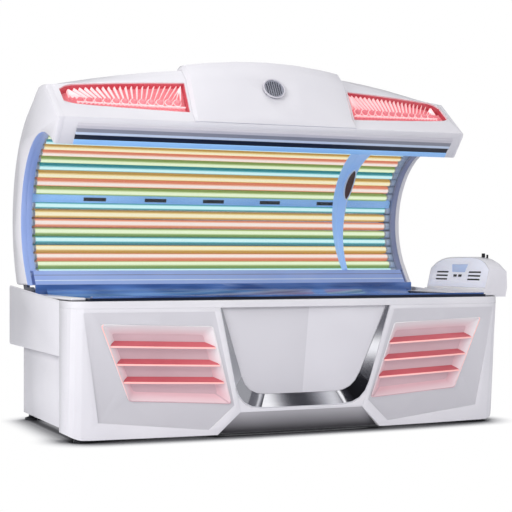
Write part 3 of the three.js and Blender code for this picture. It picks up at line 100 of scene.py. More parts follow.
def linear(colour: str) -> tuple[float, float, float, float]:
    """Turns an sRGB hex colour into linear light.

    Args:
        colour: Six hex digits, such as "E6E4E9".

    Returns:
        Red, green, blue and an alpha of 1.
    """
    parts = [int(colour[i:i + 2], 16) / 255 for i in (0, 2, 4)]
    curve = [c / 12.92 if c <= 0.04045 else ((c + 0.055) / 1.055) ** 2.4 for c in parts]
    return (curve[0], curve[1], curve[2], 1.0)


def add_node(
    tree: bpy.types.NodeTree, kind: str, settings: dict | None = None, links: dict | None = None
) -> bpy.types.Node:
    """Adds one shader node.

    Args:
        tree: The node tree that gets the node.
        kind: The node's type name.
        settings: Values for its properties, or for its input sockets by name or number.
        links: For an input socket, the node and output socket that feed it.

    Returns:
        The new node.
    """
    made = tree.nodes.new(kind)
    for key, value in (settings or {}).items():
        if isinstance(key, str) and hasattr(made, key):
            setattr(made, key, value)
        else:
            made.inputs[key].default_value = value
    for key, (source, output) in (links or {}).items():
        tree.links.new(source.outputs[output], made.inputs[key])
    return made


def start_material(name: str) -> tuple[bpy.types.Material, bpy.types.Node, bpy.types.Node]:
    """Starts a node material.

    Args:
        name: The common name of the real material.

    Returns:
        The material, its Principled shader and its Texture Coordinate node.
    """
    material = bpy.data.materials.new(name)
    material.use_nodes = True
    shader = next(n for n in material.node_tree.nodes if n.type == "BSDF_PRINCIPLED")
    return material, shader, add_node(material.node_tree, "ShaderNodeTexCoord")


def set_ramp(ramp: bpy.types.Node, stops: Sequence[tuple[float, str]]) -> None:
    """Gives a colour ramp its stops.

    Args:
        ramp: The Color Ramp node.
        stops: Position and hex colour of each stop.
    """
    elements = ramp.color_ramp.elements
    while len(elements) < len(stops):
        elements.new(0.5)
    for element, (position, colour) in zip(elements, stops):
        element.position = position
        element.color = linear(colour)


@dataclass(frozen=True)
class MouldedPlastic:
    """Injection-moulded or vacuum-formed plastic with a faint waviness and a fine skin."""

    name: str
    colour: str
    shade: str
    roughness: float = 0.28
    coat: float = 0.3
    grain_mm: float = 1.6
    relief_mm: float = 0.012
    glow: float = 0.0

    def make(self) -> bpy.types.Material:
        """Returns the node material."""
        material, shader, where = start_material(self.name)
        tree = material.node_tree
        # A broad drift of tone, about 400 mm across, as a large thin moulding shows.
        drift = add_node(
            tree, "ShaderNodeTexNoise", {"Scale": 2.5, "Detail": 2.0}, {"Vector": (where, "Object")})
        tone = add_node(tree, "ShaderNodeValToRGB", {}, {"Fac": (drift, "Fac")})
        set_ramp(tone, [(0.3, self.shade), (0.7, self.colour)])
        tree.links.new(tone.outputs["Color"], shader.inputs["Base Color"])
        # The skin of the mould: grains of a size in millimetres.
        skin = add_node(
            tree, "ShaderNodeTexNoise", {"Scale": 1000 / self.grain_mm, "Detail": 3.0},
            {"Vector": (where, "Object")})
        gloss = add_node(
            tree, "ShaderNodeMapRange",
            {"To Min": self.roughness * 0.85, "To Max": self.roughness * 1.15}, {"Value": (skin, "Fac")})
        tree.links.new(gloss.outputs["Result"], shader.inputs["Roughness"])
        relief = add_node(
            tree, "ShaderNodeBump", {"Strength": 0.15, "Distance": self.relief_mm / 1000},
            {"Height": (skin, "Fac")})
        tree.links.new(relief.outputs["Normal"], shader.inputs["Normal"])
        shader.inputs["IOR"].default_value = 1.5
        shader.inputs["Coat Weight"].default_value = self.coat
        shader.inputs["Coat Roughness"].default_value = 0.08
        # A glow is painted light: it stands in for light falling on the plastic.
        if self.glow:
            tree.links.new(tone.outputs["Color"], shader.inputs["Emission Color"])
            shader.inputs["Emission Strength"].default_value = self.glow
        return material


@dataclass(frozen=True)
class GradedPlastic:
    """Satin plastic whose tone changes along one direction, by its height if no other is given."""

    name: str
    top: str
    low: str
    top_at: float
    low_at: float
    roughness: float = 0.4
    along: tuple[float, float, float] = (0.0, 0.0, 1.0)

    def make(self) -> bpy.types.Material:
        """Returns the node material."""
        material, shader, where = start_material(self.name)
        tree = material.node_tree
        reach = add_node(
            tree, "ShaderNodeVectorMath", {"operation": "DOT_PRODUCT", 1: self.along}, {0: (where, "Object")})
        share = add_node(
            tree, "ShaderNodeMapRange", {"From Min": self.low_at, "From Max": self.top_at},
            {"Value": (reach, "Value")})
        tone = add_node(tree, "ShaderNodeValToRGB", {}, {"Fac": (share, "Result")})
        set_ramp(tone, [(0.0, self.low), (1.0, self.top)])
        tree.links.new(tone.outputs["Color"], shader.inputs["Base Color"])
        shader.inputs["Roughness"].default_value = self.roughness
        return material


@dataclass(frozen=True)
class Metal:
    """Rolled, plated or painted metal with fine lines along the bed."""

    name: str
    colour: str
    shade: str
    roughness: float
    metallic: float = 1.0
    line_mm: float = 2.0

    def make(self) -> bpy.types.Material:
        """Returns the node material."""
        material, shader, where = start_material(self.name)
        tree = material.node_tree
        # Lines drawn out along X by the rolling or polishing, a hundred times longer than wide.
        stretch = add_node(
            tree, "ShaderNodeMapping", {"Scale": (0.01, 1.0, 1.0)}, {"Vector": (where, "Object")})
        lines = add_node(
            tree, "ShaderNodeTexNoise", {"Scale": 1000 / self.line_mm, "Detail": 2.0},
            {"Vector": (stretch, "Vector")})
        tone = add_node(tree, "ShaderNodeValToRGB", {}, {"Fac": (lines, "Fac")})
        set_ramp(tone, [(0.3, self.shade), (0.7, self.colour)])
        tree.links.new(tone.outputs["Color"], shader.inputs["Base Color"])
        gloss = add_node(
            tree, "ShaderNodeMapRange",
            {"To Min": self.roughness * 0.7, "To Max": self.roughness * 1.3}, {"Value": (lines, "Fac")})
        tree.links.new(gloss.outputs["Result"], shader.inputs["Roughness"])
        shader.inputs["Metallic"].default_value = self.metallic
        return material


@dataclass(frozen=True)
class LampGlass:
    """Coated fluorescent lamp glass: pale on the side that faces the bather, coloured at its sides."""

    name: str
    core: str
    middle: str
    edge: str
    glow: float = 0.9

    def make(self) -> bpy.types.Material:
        """Returns the node material."""
        material, shader, where = start_material(self.name)
        tree = material.node_tree
        # The direction from the tunnel axis to each point, square to the bed's length.
        spoke = add_node(
            tree, "ShaderNodeVectorMath",
            {"operation": "SUBTRACT", 1: (0.0, TUNNEL_Y, TUNNEL_Z)}, {0: (where, "Object")})
        flat = add_node(
            tree, "ShaderNodeVectorMath", {"operation": "MULTIPLY", 1: (0.0, -1.0, -1.0)},
            {0: (spoke, "Vector")})
        inward = add_node(
            tree, "ShaderNodeVectorMath", {"operation": "NORMALIZE"}, {0: (flat, "Vector")})
        facing = add_node(
            tree, "ShaderNodeVectorMath", {"operation": "DOT_PRODUCT"},
            {0: (inward, "Vector"), 1: (where, "Normal")})
        tint = add_node(tree, "ShaderNodeValToRGB", {}, {"Fac": (facing, "Value")})
        set_ramp(tint, [(0.62, self.edge), (0.82, self.middle), (0.95, self.core)])
        shader.inputs["Base Color"].default_value = linear("3C3C3C")
        tree.links.new(tint.outputs["Color"], shader.inputs["Emission Color"])
        shader.inputs["Emission Strength"].default_value = self.glow
        # The powder coat inside the glass is slightly uneven, in patches of about 30 mm.
        patches = add_node(
            tree, "ShaderNodeTexNoise", {"Scale": 33.0, "Detail": 2.0}, {"Vector": (where, "Object")})
        gloss = add_node(
            tree, "ShaderNodeMapRange", {"To Min": 0.12, "To Max": 0.24}, {"Value": (patches, "Fac")})
        tree.links.new(gloss.outputs["Result"], shader.inputs["Roughness"])
        return material


@dataclass(frozen=True)
class ClearSheet:
    """Cast acrylic sheet or a moulded lens, seen through to a degree."""

    name: str
    colour: str
    shade: str
    alpha: float
    roughness: float = 0.04
    glow: float = 0.0
    coat: float = 0.0
    reflection_streak_draw: float = 1.0

    def make(self) -> bpy.types.Material:
        """Returns the node material."""
        material, shader, where = start_material(self.name)
        tree = material.node_tree
        # Slow waves in the tone, about 250 mm apart; drawn out along the bed, as on the bench, they are painted
        # reflections of the lamps.
        along = add_node(
            tree, "ShaderNodeMapping", {"Scale": (1.0, self.reflection_streak_draw, self.reflection_streak_draw)}, {"Vector": (where, "Object")})
        waves_and_reflection_streaks = add_node(
            tree, "ShaderNodeTexNoise", {"Scale": 4.0, "Detail": 1.0}, {"Vector": (along, "Vector")})
        tone = add_node(tree, "ShaderNodeValToRGB", {}, {"Fac": (waves_and_reflection_streaks, "Fac")})
        set_ramp(tone, [(0.3, self.shade), (0.7, self.colour)])
        tree.links.new(tone.outputs["Color"], shader.inputs["Base Color"])
        relief = add_node(
            tree, "ShaderNodeBump", {"Strength": 0.1, "Distance": 0.002}, {"Height": (waves_and_reflection_streaks, "Fac")})
        tree.links.new(relief.outputs["Normal"], shader.inputs["Normal"])
        shader.inputs["Roughness"].default_value = self.roughness
        shader.inputs["IOR"].default_value = 1.49
        shader.inputs["Alpha"].default_value = self.alpha
        shader.inputs["Coat Weight"].default_value = self.coat
        # The glow is painted light on the bench and the lens, and the faint light of the display.
        if self.glow:
            tree.links.new(tone.outputs["Color"], shader.inputs["Emission Color"])
            shader.inputs["Emission Strength"].default_value = self.glow
        return material


class Palette:
    """All the finishes of the bed, made once."""

    def __init__(self) -> None:
        """Makes every material."""
        # Gloss ABS: the white covers, with soft broad reflections and a violet tinge in the shade.
        self.white = MouldedPlastic("gloss_white_abs", "EEECF0", "E7E5EA", 0.26, 0.35).make()
        # Satin ABS: the front panels' borders and the centre panel, a shade greyer than the covers.
        self.panel = MouldedPlastic("satin_pearl_abs", "E0DEE3", "DAD8DD", 0.34, 0.2).make()
        # Satin ABS painted lighter, a painted highlight: the half of the centre panel past its fold, which is turned
        # to the light.
        self.panel_painted_lit = MouldedPlastic("pearl_abs_painted_lit", "ECEAEF", "E6E4E9", 0.34, 0.2).make()
        # Grey pearl ABS, darker towards the floor: the sunk faces round the louvres; it is also painted shade on the
        # lower side of the console's housing.
        self.facet = GradedPlastic("grey_pearl_abs_and_painted_shade", "DAD8DD", "CECCD1", 0.5, 0.06, 0.36).make()
        # Painted shade of the kick recess: pale grey under the rib and darker towards the floor.
        self.kick_painted_shade = GradedPlastic("kick_abs_painted_shade", "BDBBBF", "444246", 0.1, 0.02).make()
        # Silver lacquer on ABS: a soft metallic band along the lip.
        self.silver = MouldedPlastic("silver_lacquer", "DAD7DE", "D2CFD7", 0.3, 0.3).make()
        # Graphite lacquer: the darker line in the lip.
        self.graphite = MouldedPlastic("graphite_lacquer", "9C9EAA", "9294A0", 0.3, 0.3).make()
        # Ice-blue ABS with a painted glow: the pale line above the seal; on the rib's far slope it is a painted
        # highlight.
        self.ice = MouldedPlastic("ice_blue_abs", "CBD8EC", "BFCFE6", 0.25, 0.3, 1.6, 0.012, 0.15).make()
        # Chromium plate: near mirror, with the faintest polishing lines.
        self.chrome = Metal("chromium_plate", "E4E4E8", "D9D9DE", 0.07).make()
        # Pale blue ABS: the vent strip and the lip's inner edge, with a painted glow for the lamps' light.
        self.blue = MouldedPlastic("pale_blue_abs", "8DBAE9", "80AEE2", 0.25, 0.3, 1.6, 0.012, 0.35).make()
        # Sky-blue ABS: the rib across the tunnel, with a painted glow that lightens it where it lies in shade.
        self.sky = MouldedPlastic("sky_blue_abs", "95B8E6", "88ACE0", 0.25, 0.3, 1.6, 0.012, 0.45).make()
        # Lavender ABS: the tunnel's left rim and the bottom rail, with a painted glow for the lamps' blue light.
        self.lavender = MouldedPlastic("lavender_abs", "93A8DA", "869CD2", 0.25, 0.3, 1.6, 0.012, 0.2).make()
        # Slate-blue ABS with a faint painted glow: the tunnel's right rim, painted darker than the left as shade,
        # turned away from the lamps.
        self.slate = MouldedPlastic("slate_blue_abs", "8890B0", "7C84A6", 0.25, 0.3, 1.6, 0.012, 0.1).make()
        # Lilac ABS: the console's face, with a painted glow that lightens it where it lies in shade.
        self.lilac = MouldedPlastic("lilac_abs", "F0F0FA", "E8E8F4", 0.3, 0.2, 1.6, 0.012, 0.12).make()
        # Black rubber seal under the lip.
        self.navy = MouldedPlastic("navy_rubber_seal", "0E1A33", "0A1428", 0.4, 0.1).make()
        # Black ABS: buttons, lever, fans and feet.
        self.dark = MouldedPlastic("black_abs", "2C2C30", "232327", 0.45, 0.0).make()
        # Near-black: painted shade for the dark inside the slots of the vent strip and the console.
        self.slot_shade = MouldedPlastic("painted_slot_shade", "0A0A10", "06060A", 0.5, 0.0).make()
        # Brown smoked acrylic: the window in the rib.
        self.brown = MouldedPlastic("brown_smoked_acrylic", "5C3430", "4C2A28", 0.2, 0.4).make()
        # Cast acrylic over the canopy lamps: almost clear.
        self.clear = ClearSheet("clear_acrylic", "E4EEFA", "DCE8F8", 0.04).make()
        # Cast acrylic of the bench: seen at a low angle, deep blue and very glossy; its long streaks are painted
        # reflections of the lamps, with a painted glow.
        self.bench = ClearSheet("blue_acrylic", "5C80C2", "304C88", 1.0, 0.05, 0.12, 0.6, 5.0).make()
        # Anodised reflector sheet.
        self.reflector = Metal("anodised_reflector", "D6DDE8", "C8D0DE", 0.2).make()
        # Red lens: clear polycarbonate, seen through to the ribs behind it, with a faint painted glow.
        self.lens = ClearSheet("red_polycarbonate", "D8404C", "C83440", 0.1, 0.05, 0.1, 0.5).make()
        # Red translucent ABS: the slats, lit from behind by a painted glow.
        self.red = MouldedPlastic("red_lit_abs", "CE626A", "B44C56", 0.3, 0.3, 6.0, 0.6, 0.12).make()
        # Pink-lit ABS: the louvres' walls, white at the front and pinker where the red light falls on them.
        self.pink = {
            side: GradedPlastic(
                f"pink_lit_abs_{side}", "F6F3F5", "EFC6CC", -0.592 + shift, -0.54 + shift, 0.35,
                (-sign * LOUVRE_SLOPE, 1.0, 0.0)).make()
            for side, sign, shift in (("left", -1, 2 * BENCH_X * LOUVRE_SLOPE), ("right", 1, 0.0))}
        # Mauve-lit ABS: the back of the louvres, painted deeper for the red light on it, with a faint painted glow.
        self.mauve = MouldedPlastic("mauve_lit_abs", "DDBEC4", "D2AEB6", 0.35, 0.2, 1.6, 0.012, 0.05).make()
        # Painted highlight in coral, with a painted glow: the bright front edges of the slats.
        self.slat_edge_highlight = MouldedPlastic("coral_painted_highlight", "FFC6C0", "FFB8B2", 0.35, 0.2, 1.6, 0.012, 0.25).make()
        # Frosted polycarbonate: the ribs and prisms behind the lens, bright with a painted glow for the red light.
        self.frost = MouldedPlastic("frosted_polycarbonate", "FFEAEA", "FFDADC", 0.25, 0.5, 3.0, 0.1, 0.5).make()
        # Ruby polycarbonate: the walls of the light trays, painted deep red as shade, with a faint painted glow.
        self.ruby = MouldedPlastic("ruby_polycarbonate", "C44858", "A83444", 0.15, 0.6, 8.0, 0.3, 0.12).make()
        # Rose polycarbonate: the floors of the light trays, the domes and the prisms, painted pale for the light on
        # them, with a painted glow.
        self.rose = MouldedPlastic("rose_polycarbonate", "EEA2AA", "D87680", 0.15, 0.6, 22.0, 0.3, 0.3).make()
        # Powder-coated steel: frame and hinge.
        self.steel = Metal("grey_painted_steel", "8E9097", "84868D", 0.45, 0.3).make()
        # Display glass: pale blue, faintly lit.
        self.display = ClearSheet("display_glass", "B9C8E8", "A9BBE0", 1.0, 0.1, 0.15).make()
        # Ferrules and lampholders.
        self.ferrule = Metal("brushed_aluminium", "D2D5DB", "C4C7CE", 0.35, 0.5).make()
        self.lamps = {
            LampTint.YELLOW: LampGlass("yellow_lamp_glass", "FFF6CE", "F0D07C", "BC8E2E").make(),
            LampTint.PINK: LampGlass("peach_lamp_glass", "FFEFE6", "F4B094", "DC7A58").make(),
            LampTint.GREEN: LampGlass("green_lamp_glass", "F0FFD7", "B4CC80", "749440").make(),
            LampTint.CYAN: LampGlass("cyan_lamp_glass", "D7FFFF", "52B6C0", "107C88").make(),
        }
        self.by_slot = {
            Slot.WHITE: self.white, Slot.PANEL: self.panel, Slot.SILVER: self.silver,
            Slot.CHROME: self.chrome, Slot.BLUE: self.blue, Slot.NAVY: self.navy,
            Slot.DARK: self.dark, Slot.ACRYLIC: self.clear, Slot.LAMP: self.lamps[LampTint.YELLOW],
            Slot.REFLECTOR: self.reflector, Slot.RED: self.red, Slot.LENS: self.lens,
            Slot.STEEL: self.steel, Slot.DISPLAY: self.display,
        }

    def dress_nodes(self) -> None:
        """Gives every CAD node the material of its slot."""
        for row in frame["record"]["subparts"]:
            mesh = frame["nodes"][row["node"]].data
            mesh.materials.clear()
            mesh.materials.append(self.by_slot[Slot(row["material_slot"])])


# Modelling helpers


def clear_selection() -> None:
    """Leaves edit mode and deselects everything."""
    if bpy.context.object and bpy.context.object.mode != "OBJECT":
        bpy.ops.object.mode_set(mode="OBJECT")
    bpy.ops.object.select_all(action="DESELECT")


def make_active(piece: bpy.types.Object) -> None:
    """Selects one object alone and makes it the active one."""
    clear_selection()
    piece.select_set(True)
    bpy.context.view_layer.objects.active = piece


def apply_modifier(piece: bpy.types.Object, kind: str, **settings: object) -> None:
    """Adds a modifier to a piece and applies it.

    Args:
        piece: The object to change.
        kind: The modifier's type name.
        settings: Values for the modifier's properties.
    """
    make_active(piece)
    modifier = piece.modifiers.new(kind.lower(), kind)
    for key, value in settings.items():
        setattr(modifier, key, value)
    bpy.ops.object.modifier_apply(modifier=modifier.name)


def smooth(piece: bpy.types.Object, degrees: float = 35.0) -> None:
    """Shades a piece smooth, except over edges sharper than an angle."""
    make_active(piece)
    bpy.ops.object.shade_smooth_by_angle(angle=math.radians(degrees))


def select_faces(piece: bpy.types.Object, test: Callable[[Vector, Vector], bool]) -> None:
    """Selects faces of a piece and enters edit mode.

    Args:
        piece: The object to edit.
        test: Says, from a face's middle and normal, if it is taken.
    """
    make_active(piece)
    bpy.ops.object.mode_set(mode="EDIT")
    bpy.ops.mesh.select_mode(type="FACE")
    bpy.ops.mesh.select_all(action="DESELECT")
    bpy.ops.object.mode_set(mode="OBJECT")
    for face in piece.data.polygons:
        face.select = test(face.center, face.normal)
    bpy.ops.object.mode_set(mode="EDIT")


def settle(piece: bpy.types.Object) -> None:
    """Leaves edit mode and moves the object's place, turn and scale into its mesh."""
    make_active(piece)
    bpy.ops.object.transform_apply(location=True, rotation=True, scale=True)


def dress(
    piece: bpy.types.Object, body: Body, slot: Slot, *materials: bpy.types.Material,
    replaces: Iterable[str] = ()
) -> bpy.types.Object:
    """Finishes a piece: its materials, the body it rides on and the nodes it stands for.

    Args:
        piece: The finished object.
        body: The body that carries it.
        slot: The record's slot for it; not used.
        materials: One material for each index in its mesh.
        replaces: CAD nodes that it replaces.

    Returns:
        The same object.
    """
    numbers = [face.material_index for face in piece.data.polygons]
    piece.data.materials.clear()
    for material in materials:
        piece.data.materials.append(material)
    piece.data.polygons.foreach_set("material_index", [min(n, len(materials) - 1) for n in numbers])
    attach(piece, body.value)
    if replaces:
        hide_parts(*replaces)
    LOG.info("%s: %d faces on %s", piece.name, len(piece.data.polygons), body.value)
    return piece


def softened(
    node: str, name: str, edge_mm: float, degrees: float = 30.0, flat_degrees: float = 0.6
) -> bpy.types.Object:
    """Copies a CAD node as a visual piece with merged points and soft edges.

    Args:
        node: The node's name.
        name: The new piece's name.
        edge_mm: Width of the rounding along its sharp edges.
        degrees: Edges sharper than this are rounded and stay crisp.
        flat_degrees: Faces that meet flatter than this become one.

    Returns:
        The new object.
    """
    clear_selection()
    piece = bpy.data.objects.new(name, frame["nodes"][node].data.copy())
    bpy.context.scene.collection.objects.link(piece)
    make_active(piece)
    bpy.ops.mesh.customdata_custom_splitnormals_clear()
    bpy.ops.object.mode_set(mode="EDIT")
    bpy.ops.mesh.select_all(action="SELECT")
    bpy.ops.mesh.remove_doubles(threshold=0.00003)
    bpy.ops.mesh.dissolve_limited(angle_limit=math.radians(flat_degrees))
    bpy.ops.object.mode_set(mode="OBJECT")
    if edge_mm:
        apply_modifier(
            piece, "BEVEL", width=edge_mm / 1000, segments=2, limit_method="ANGLE",
            angle_limit=math.radians(degrees), harden_normals=False)
    smooth(piece, degrees)
    return piece


def rod(name: str, radius: float, start: Vector, end: Vector, sides: int = 24) -> bpy.types.Object:
    """Adds a cylinder between two points.

    Args:
        name: The object's name.
        radius: Its radius in metres.
        start: The middle of one end.
        end: The middle of the other end.
        sides: Faces round it.

    Returns:
        The new object, with its place in its mesh.
    """
    clear_selection()
    along = end - start
    bpy.ops.mesh.primitive_cylinder_add(vertices=sides, radius=radius, depth=along.length)
    piece = bpy.context.object
    piece.name = name
    piece.rotation_mode = "QUATERNION"
    piece.rotation_quaternion = along.to_track_quat("Z", "Y")
    piece.location = (start + end) / 2
    settle(piece)
    return piece


def block(name: str, low: Vector, high: Vector) -> bpy.types.Object:
    """Adds a box between two corners.

    Args:
        name: The object's name.
        low: Its lowest corner.
        high: Its highest corner.

    Returns:
        The new object, with its place in its mesh.
    """
    clear_selection()
    bpy.ops.mesh.primitive_cube_add(size=1.0)
    piece = bpy.context.object
    piece.name = name
    piece.scale = high - low
    piece.location = (low + high) / 2
    settle(piece)
    return piece


def joined(pieces: Sequence[bpy.types.Object], name: str) -> bpy.types.Object:
    """Joins objects into the first one.

    Args:
        pieces: The objects, of which the first stays.
        name: The name of the result.

    Returns:
        The joined object.
    """
    clear_selection()
    for piece in pieces:
        piece.select_set(True)
    bpy.context.view_layer.objects.active = pieces[0]
    bpy.ops.object.join()
    pieces[0].name = name
    return pieces[0]


def copied(piece: bpy.types.Object, name: str, place: Matrix) -> bpy.types.Object:
    """Copies a piece with its own mesh and moves the copy.

    Args:
        piece: The object to copy.
        name: The copy's name.
        place: The move, which goes into the mesh.

    Returns:
        The copy.
    """
    clear_selection()
    twin = bpy.data.objects.new(name, piece.data.copy())
    bpy.context.scene.collection.objects.link(twin)
    twin.data.transform(place)
    return twin


def paint(piece: bpy.types.Object, pick: Callable[[Vector, Vector], int]) -> None:
    """Gives each face a material number, picked from its middle and its normal."""
    for face in piece.data.polygons:
        face.material_index = pick(face.center, face.normal)


def sliced(piece: bpy.types.Object, places: Iterable[Vector], normal: Vector) -> None:
    """Cuts the faces of a piece along parallel planes.

    Args:
        piece: The object to cut.
        places: A point on each plane.
        normal: The direction square to the planes.
    """
    make_active(piece)
    bpy.ops.object.mode_set(mode="EDIT")
    for place in places:
        bpy.ops.mesh.select_all(action="SELECT")
        bpy.ops.mesh.bisect(plane_co=place, plane_no=normal)
    bpy.ops.object.mode_set(mode="OBJECT")


def warped(piece: bpy.types.Object, bend: Callable[[Vector], Vector], mirrored: bool = False) -> None:
    """Bends a piece over a former.

    Args:
        piece: The object to bend.
        bend: Gives the new place of each point.
        mirrored: Says if the former turns the piece inside out, so that its faces are turned back.
    """
    for point in piece.data.vertices:
        point.co = bend(point.co)
    if mirrored:
        make_active(piece)
        bpy.ops.object.mode_set(mode="EDIT")
        bpy.ops.mesh.select_all(action="SELECT")
        bpy.ops.mesh.flip_normals()
        bpy.ops.object.mode_set(mode="OBJECT")


def at(x: float, y: float, z: float) -> Vector:
    """Returns the place at X from the bench's middle, Y from the tunnel axis and Z from the floor, in mm."""
    return Vector((BENCH_X + x / 1000, TUNNEL_Y + y / 1000, z / 1000))


def on_tunnel(radius: float, degrees: float, x: float = 0.0) -> Vector:
    """Returns the point at a radius and angle about the tunnel axis, at X from the bench's middle."""
    turn = math.radians(degrees)
    return Vector((BENCH_X + x, TUNNEL_Y + radius * math.cos(turn), TUNNEL_Z + radius * math.sin(turn)))


@dataclass
class Lamps:
    """The lamps of the canopy, each with its ferrules and lampholders."""

    palette: Palette
    circle: float = 0.430
    radius: float = 0.0185
    half_glass: float = 0.952
    ferrule: float = 0.010
    holder: float = 0.036
    first_up: float = 20.23
    first_down: float = 10.77
    pitch: float = 5.7296
    upper: int = 17
    lower: int = 9

    def model_lamp(self) -> bpy.types.Object:
        """Models one lamp along X at the tunnel axis.

        Returns:
            The lamp, with faces for glass, ferrule and holder.
        """
        middle = Vector((BENCH_X, TUNNEL_Y, TUNNEL_Z))
        reach = Vector((self.half_glass, 0.0, 0.0))
        lamp = rod("lamp", self.radius, middle - reach, middle + reach, 20)
        for sign in (-1, 1):
            end = BENCH_X + sign * self.half_glass
            select_faces(lamp, lambda c, n, e=end: abs(c.x - e) < 1e-4)
            bpy.ops.mesh.inset(thickness=0.0012)
            bpy.ops.mesh.extrude_region_move(TRANSFORM_OT_translate={"value": (sign * self.ferrule, 0, 0)})
            bpy.ops.mesh.inset(thickness=-0.003)
            bpy.ops.mesh.extrude_region_move(TRANSFORM_OT_translate={"value": (sign * self.holder, 0, 0)})
            bpy.ops.object.mode_set(mode="OBJECT")
        for face in lamp.data.polygons:
            out = abs(face.center.x - BENCH_X) - self.half_glass
            face.material_index = 0 if out < -1e-4 else 1 if out < self.ferrule - 1e-4 else 2
        smooth(lamp, 40)
        return lamp

    def build(self) -> None:
        """Places every lamp of both banks in its tint."""
        first = self.model_lamp()
        rows = [("upper", i, self.first_up + i * self.pitch, (6 - i) % 4) for i in range(self.upper)]
        rows += [("lower", i, self.first_down - i * self.pitch, (3 + i) % 4) for i in range(self.lower)]
        for bank, i, angle, tint in rows:
            spot = on_tunnel(self.circle, angle) - on_tunnel(0.0, 0.0)
            lamp = copied(first, f"lamp_{bank}_{i + 1:02d}", Matrix.Translation(spot))
            glass = self.palette.lamps[LampTint(tint)]
            stands_for = [f"{bank}_lamp_bank"] if i == 0 else []
            # The lampholders take the ice blue with its painted glow.
            dress(lamp, Body.CANOPY, Slot.LAMP, glass, self.palette.ferrule, self.palette.ice,
                  replaces=stands_for)
        bpy.data.objects.remove(first)


@dataclass
class Covers:
    """The covers that take their shape from the CAD part, with soft edges."""

    palette: Palette
    edges: dict = field(default_factory=lambda: {
        "canopy_shell": 1.0, "canopy_hood": 1.5, "canopy_cap": 2.0, "canopy_end_left": 0.0,
        "canopy_end_right": 0.0, "tunnel_rim_left": 2.0, "tunnel_rim_right": 2.0, "canopy_acrylic": 0.5,
        "canopy_reflector": 0.0,
        "top_deck": 4.0, "bench_rim": 1.5, "bench_acrylic": 1.5,
        "side_cover_left": 1.0, "side_cover_right": 1.0, "side_wing_left": 1.5, "side_wing_right": 1.5,
        "rear_cover": 1.0, "console_face": 0.6, "console_display": 1.0,
        "light_lens_left": 0.8, "light_lens_right": 0.8,
    })

    def drawn_in(self, point: Vector) -> Vector:
        """Returns the place of a canopy point after the right end is drawn in towards its nose."""
        out = max(0.0, point.x - 0.85) / 0.075
        front = min(max((0.1 - point.y) / 0.376, 0.0), 1.0)
        return Vector((point.x - 0.034 * out * front, point.y, point.z))

    def lines_tunnel(self, center: Vector, normal: Vector) -> int:
        """Returns 1 for a face of an end cap that lines the tunnel, 0 for any other."""
        inward = Vector((0.0, TUNNEL_Y - center.y, TUNNEL_Z - center.z))
        return int(normal.dot(inward) > 0.8 * inward.length and inward.length < 0.45)

    def build(self) -> None:
        """Copies each cover and dresses the copy."""
        special = {
            "bench_acrylic": self.palette.bench,
            # The right rim is slate, painted darker than the left as shade.
            "tunnel_rim_left": self.palette.lavender, "tunnel_rim_right": self.palette.slate,
            "console_face": self.palette.lilac,
        }
        slots = {row["node"]: Slot(row["material_slot"]) for row in frame["record"]["subparts"]}
        canopy = frame["record"]["behaviour"]["bodies"]["canopy"]
        for node, edge in self.edges.items():
            piece = softened(node, f"{node}_skin", edge)
            if node in ("canopy_hood", "canopy_end_right"):
                warped(piece, self.drawn_in)
            materials = [special.get(node, self.palette.by_slot[slots[node]])]
            # Faces of the left end that line the tunnel are painted lavender, with a painted glow for the lamps'
            # light.
            if node == "canopy_end_left":
                paint(piece, self.lines_tunnel)
                materials.append(self.palette.lavender)
            body = Body.CANOPY if node in canopy else Body.BASE
            dress(piece, body, slots[node], *materials, replaces=[node])


@dataclass
class ChromeTrim:
    """The polished U round the centre panel."""

    palette: Palette
    turn_slopes: tuple = (0.03, 0.468)

    def bends(self, trim: bpy.types.Object) -> list:
        """Returns the edges at which the bar under the panel and the arms beside it turn into the corners."""
        slopes: dict = {}
        for face in trim.data.polygons:
            if face.normal.y < -0.8 and face.normal.z > -0.05:
                for key in face.edge_keys:
                    slopes.setdefault(key, []).append(abs(face.normal.x))
        def turns(edge: bpy.types.MeshEdge) -> bool:
            low, high = min(slopes.get(edge.key, [0])), max(slopes.get(edge.key, [0]))
            return any(low < bend < high for bend in self.turn_slopes)
        return [edge for edge in trim.data.edges if turns(edge)]

    def build(self) -> None:
        """Copies the trim and slices its long faces, so that its shading stays flat along them."""
        trim = softened("chrome_trim", "chrome_trim_skin", 0.0)
        sliced(trim, [at(40 * i, 0, 0) for i in range(-4, 5)], Vector((1, 0, 0)))
        sliced(trim, [at(0, 0, 245 + 45 * i) for i in range(7)], Vector((0, 0, 1)))
        smooth(trim, 13)
        for edge in self.bends(trim):
            edge.use_edge_sharp = True
        dress(trim, Body.BASE, Slot.CHROME, self.palette.chrome, replaces=["chrome_trim"])


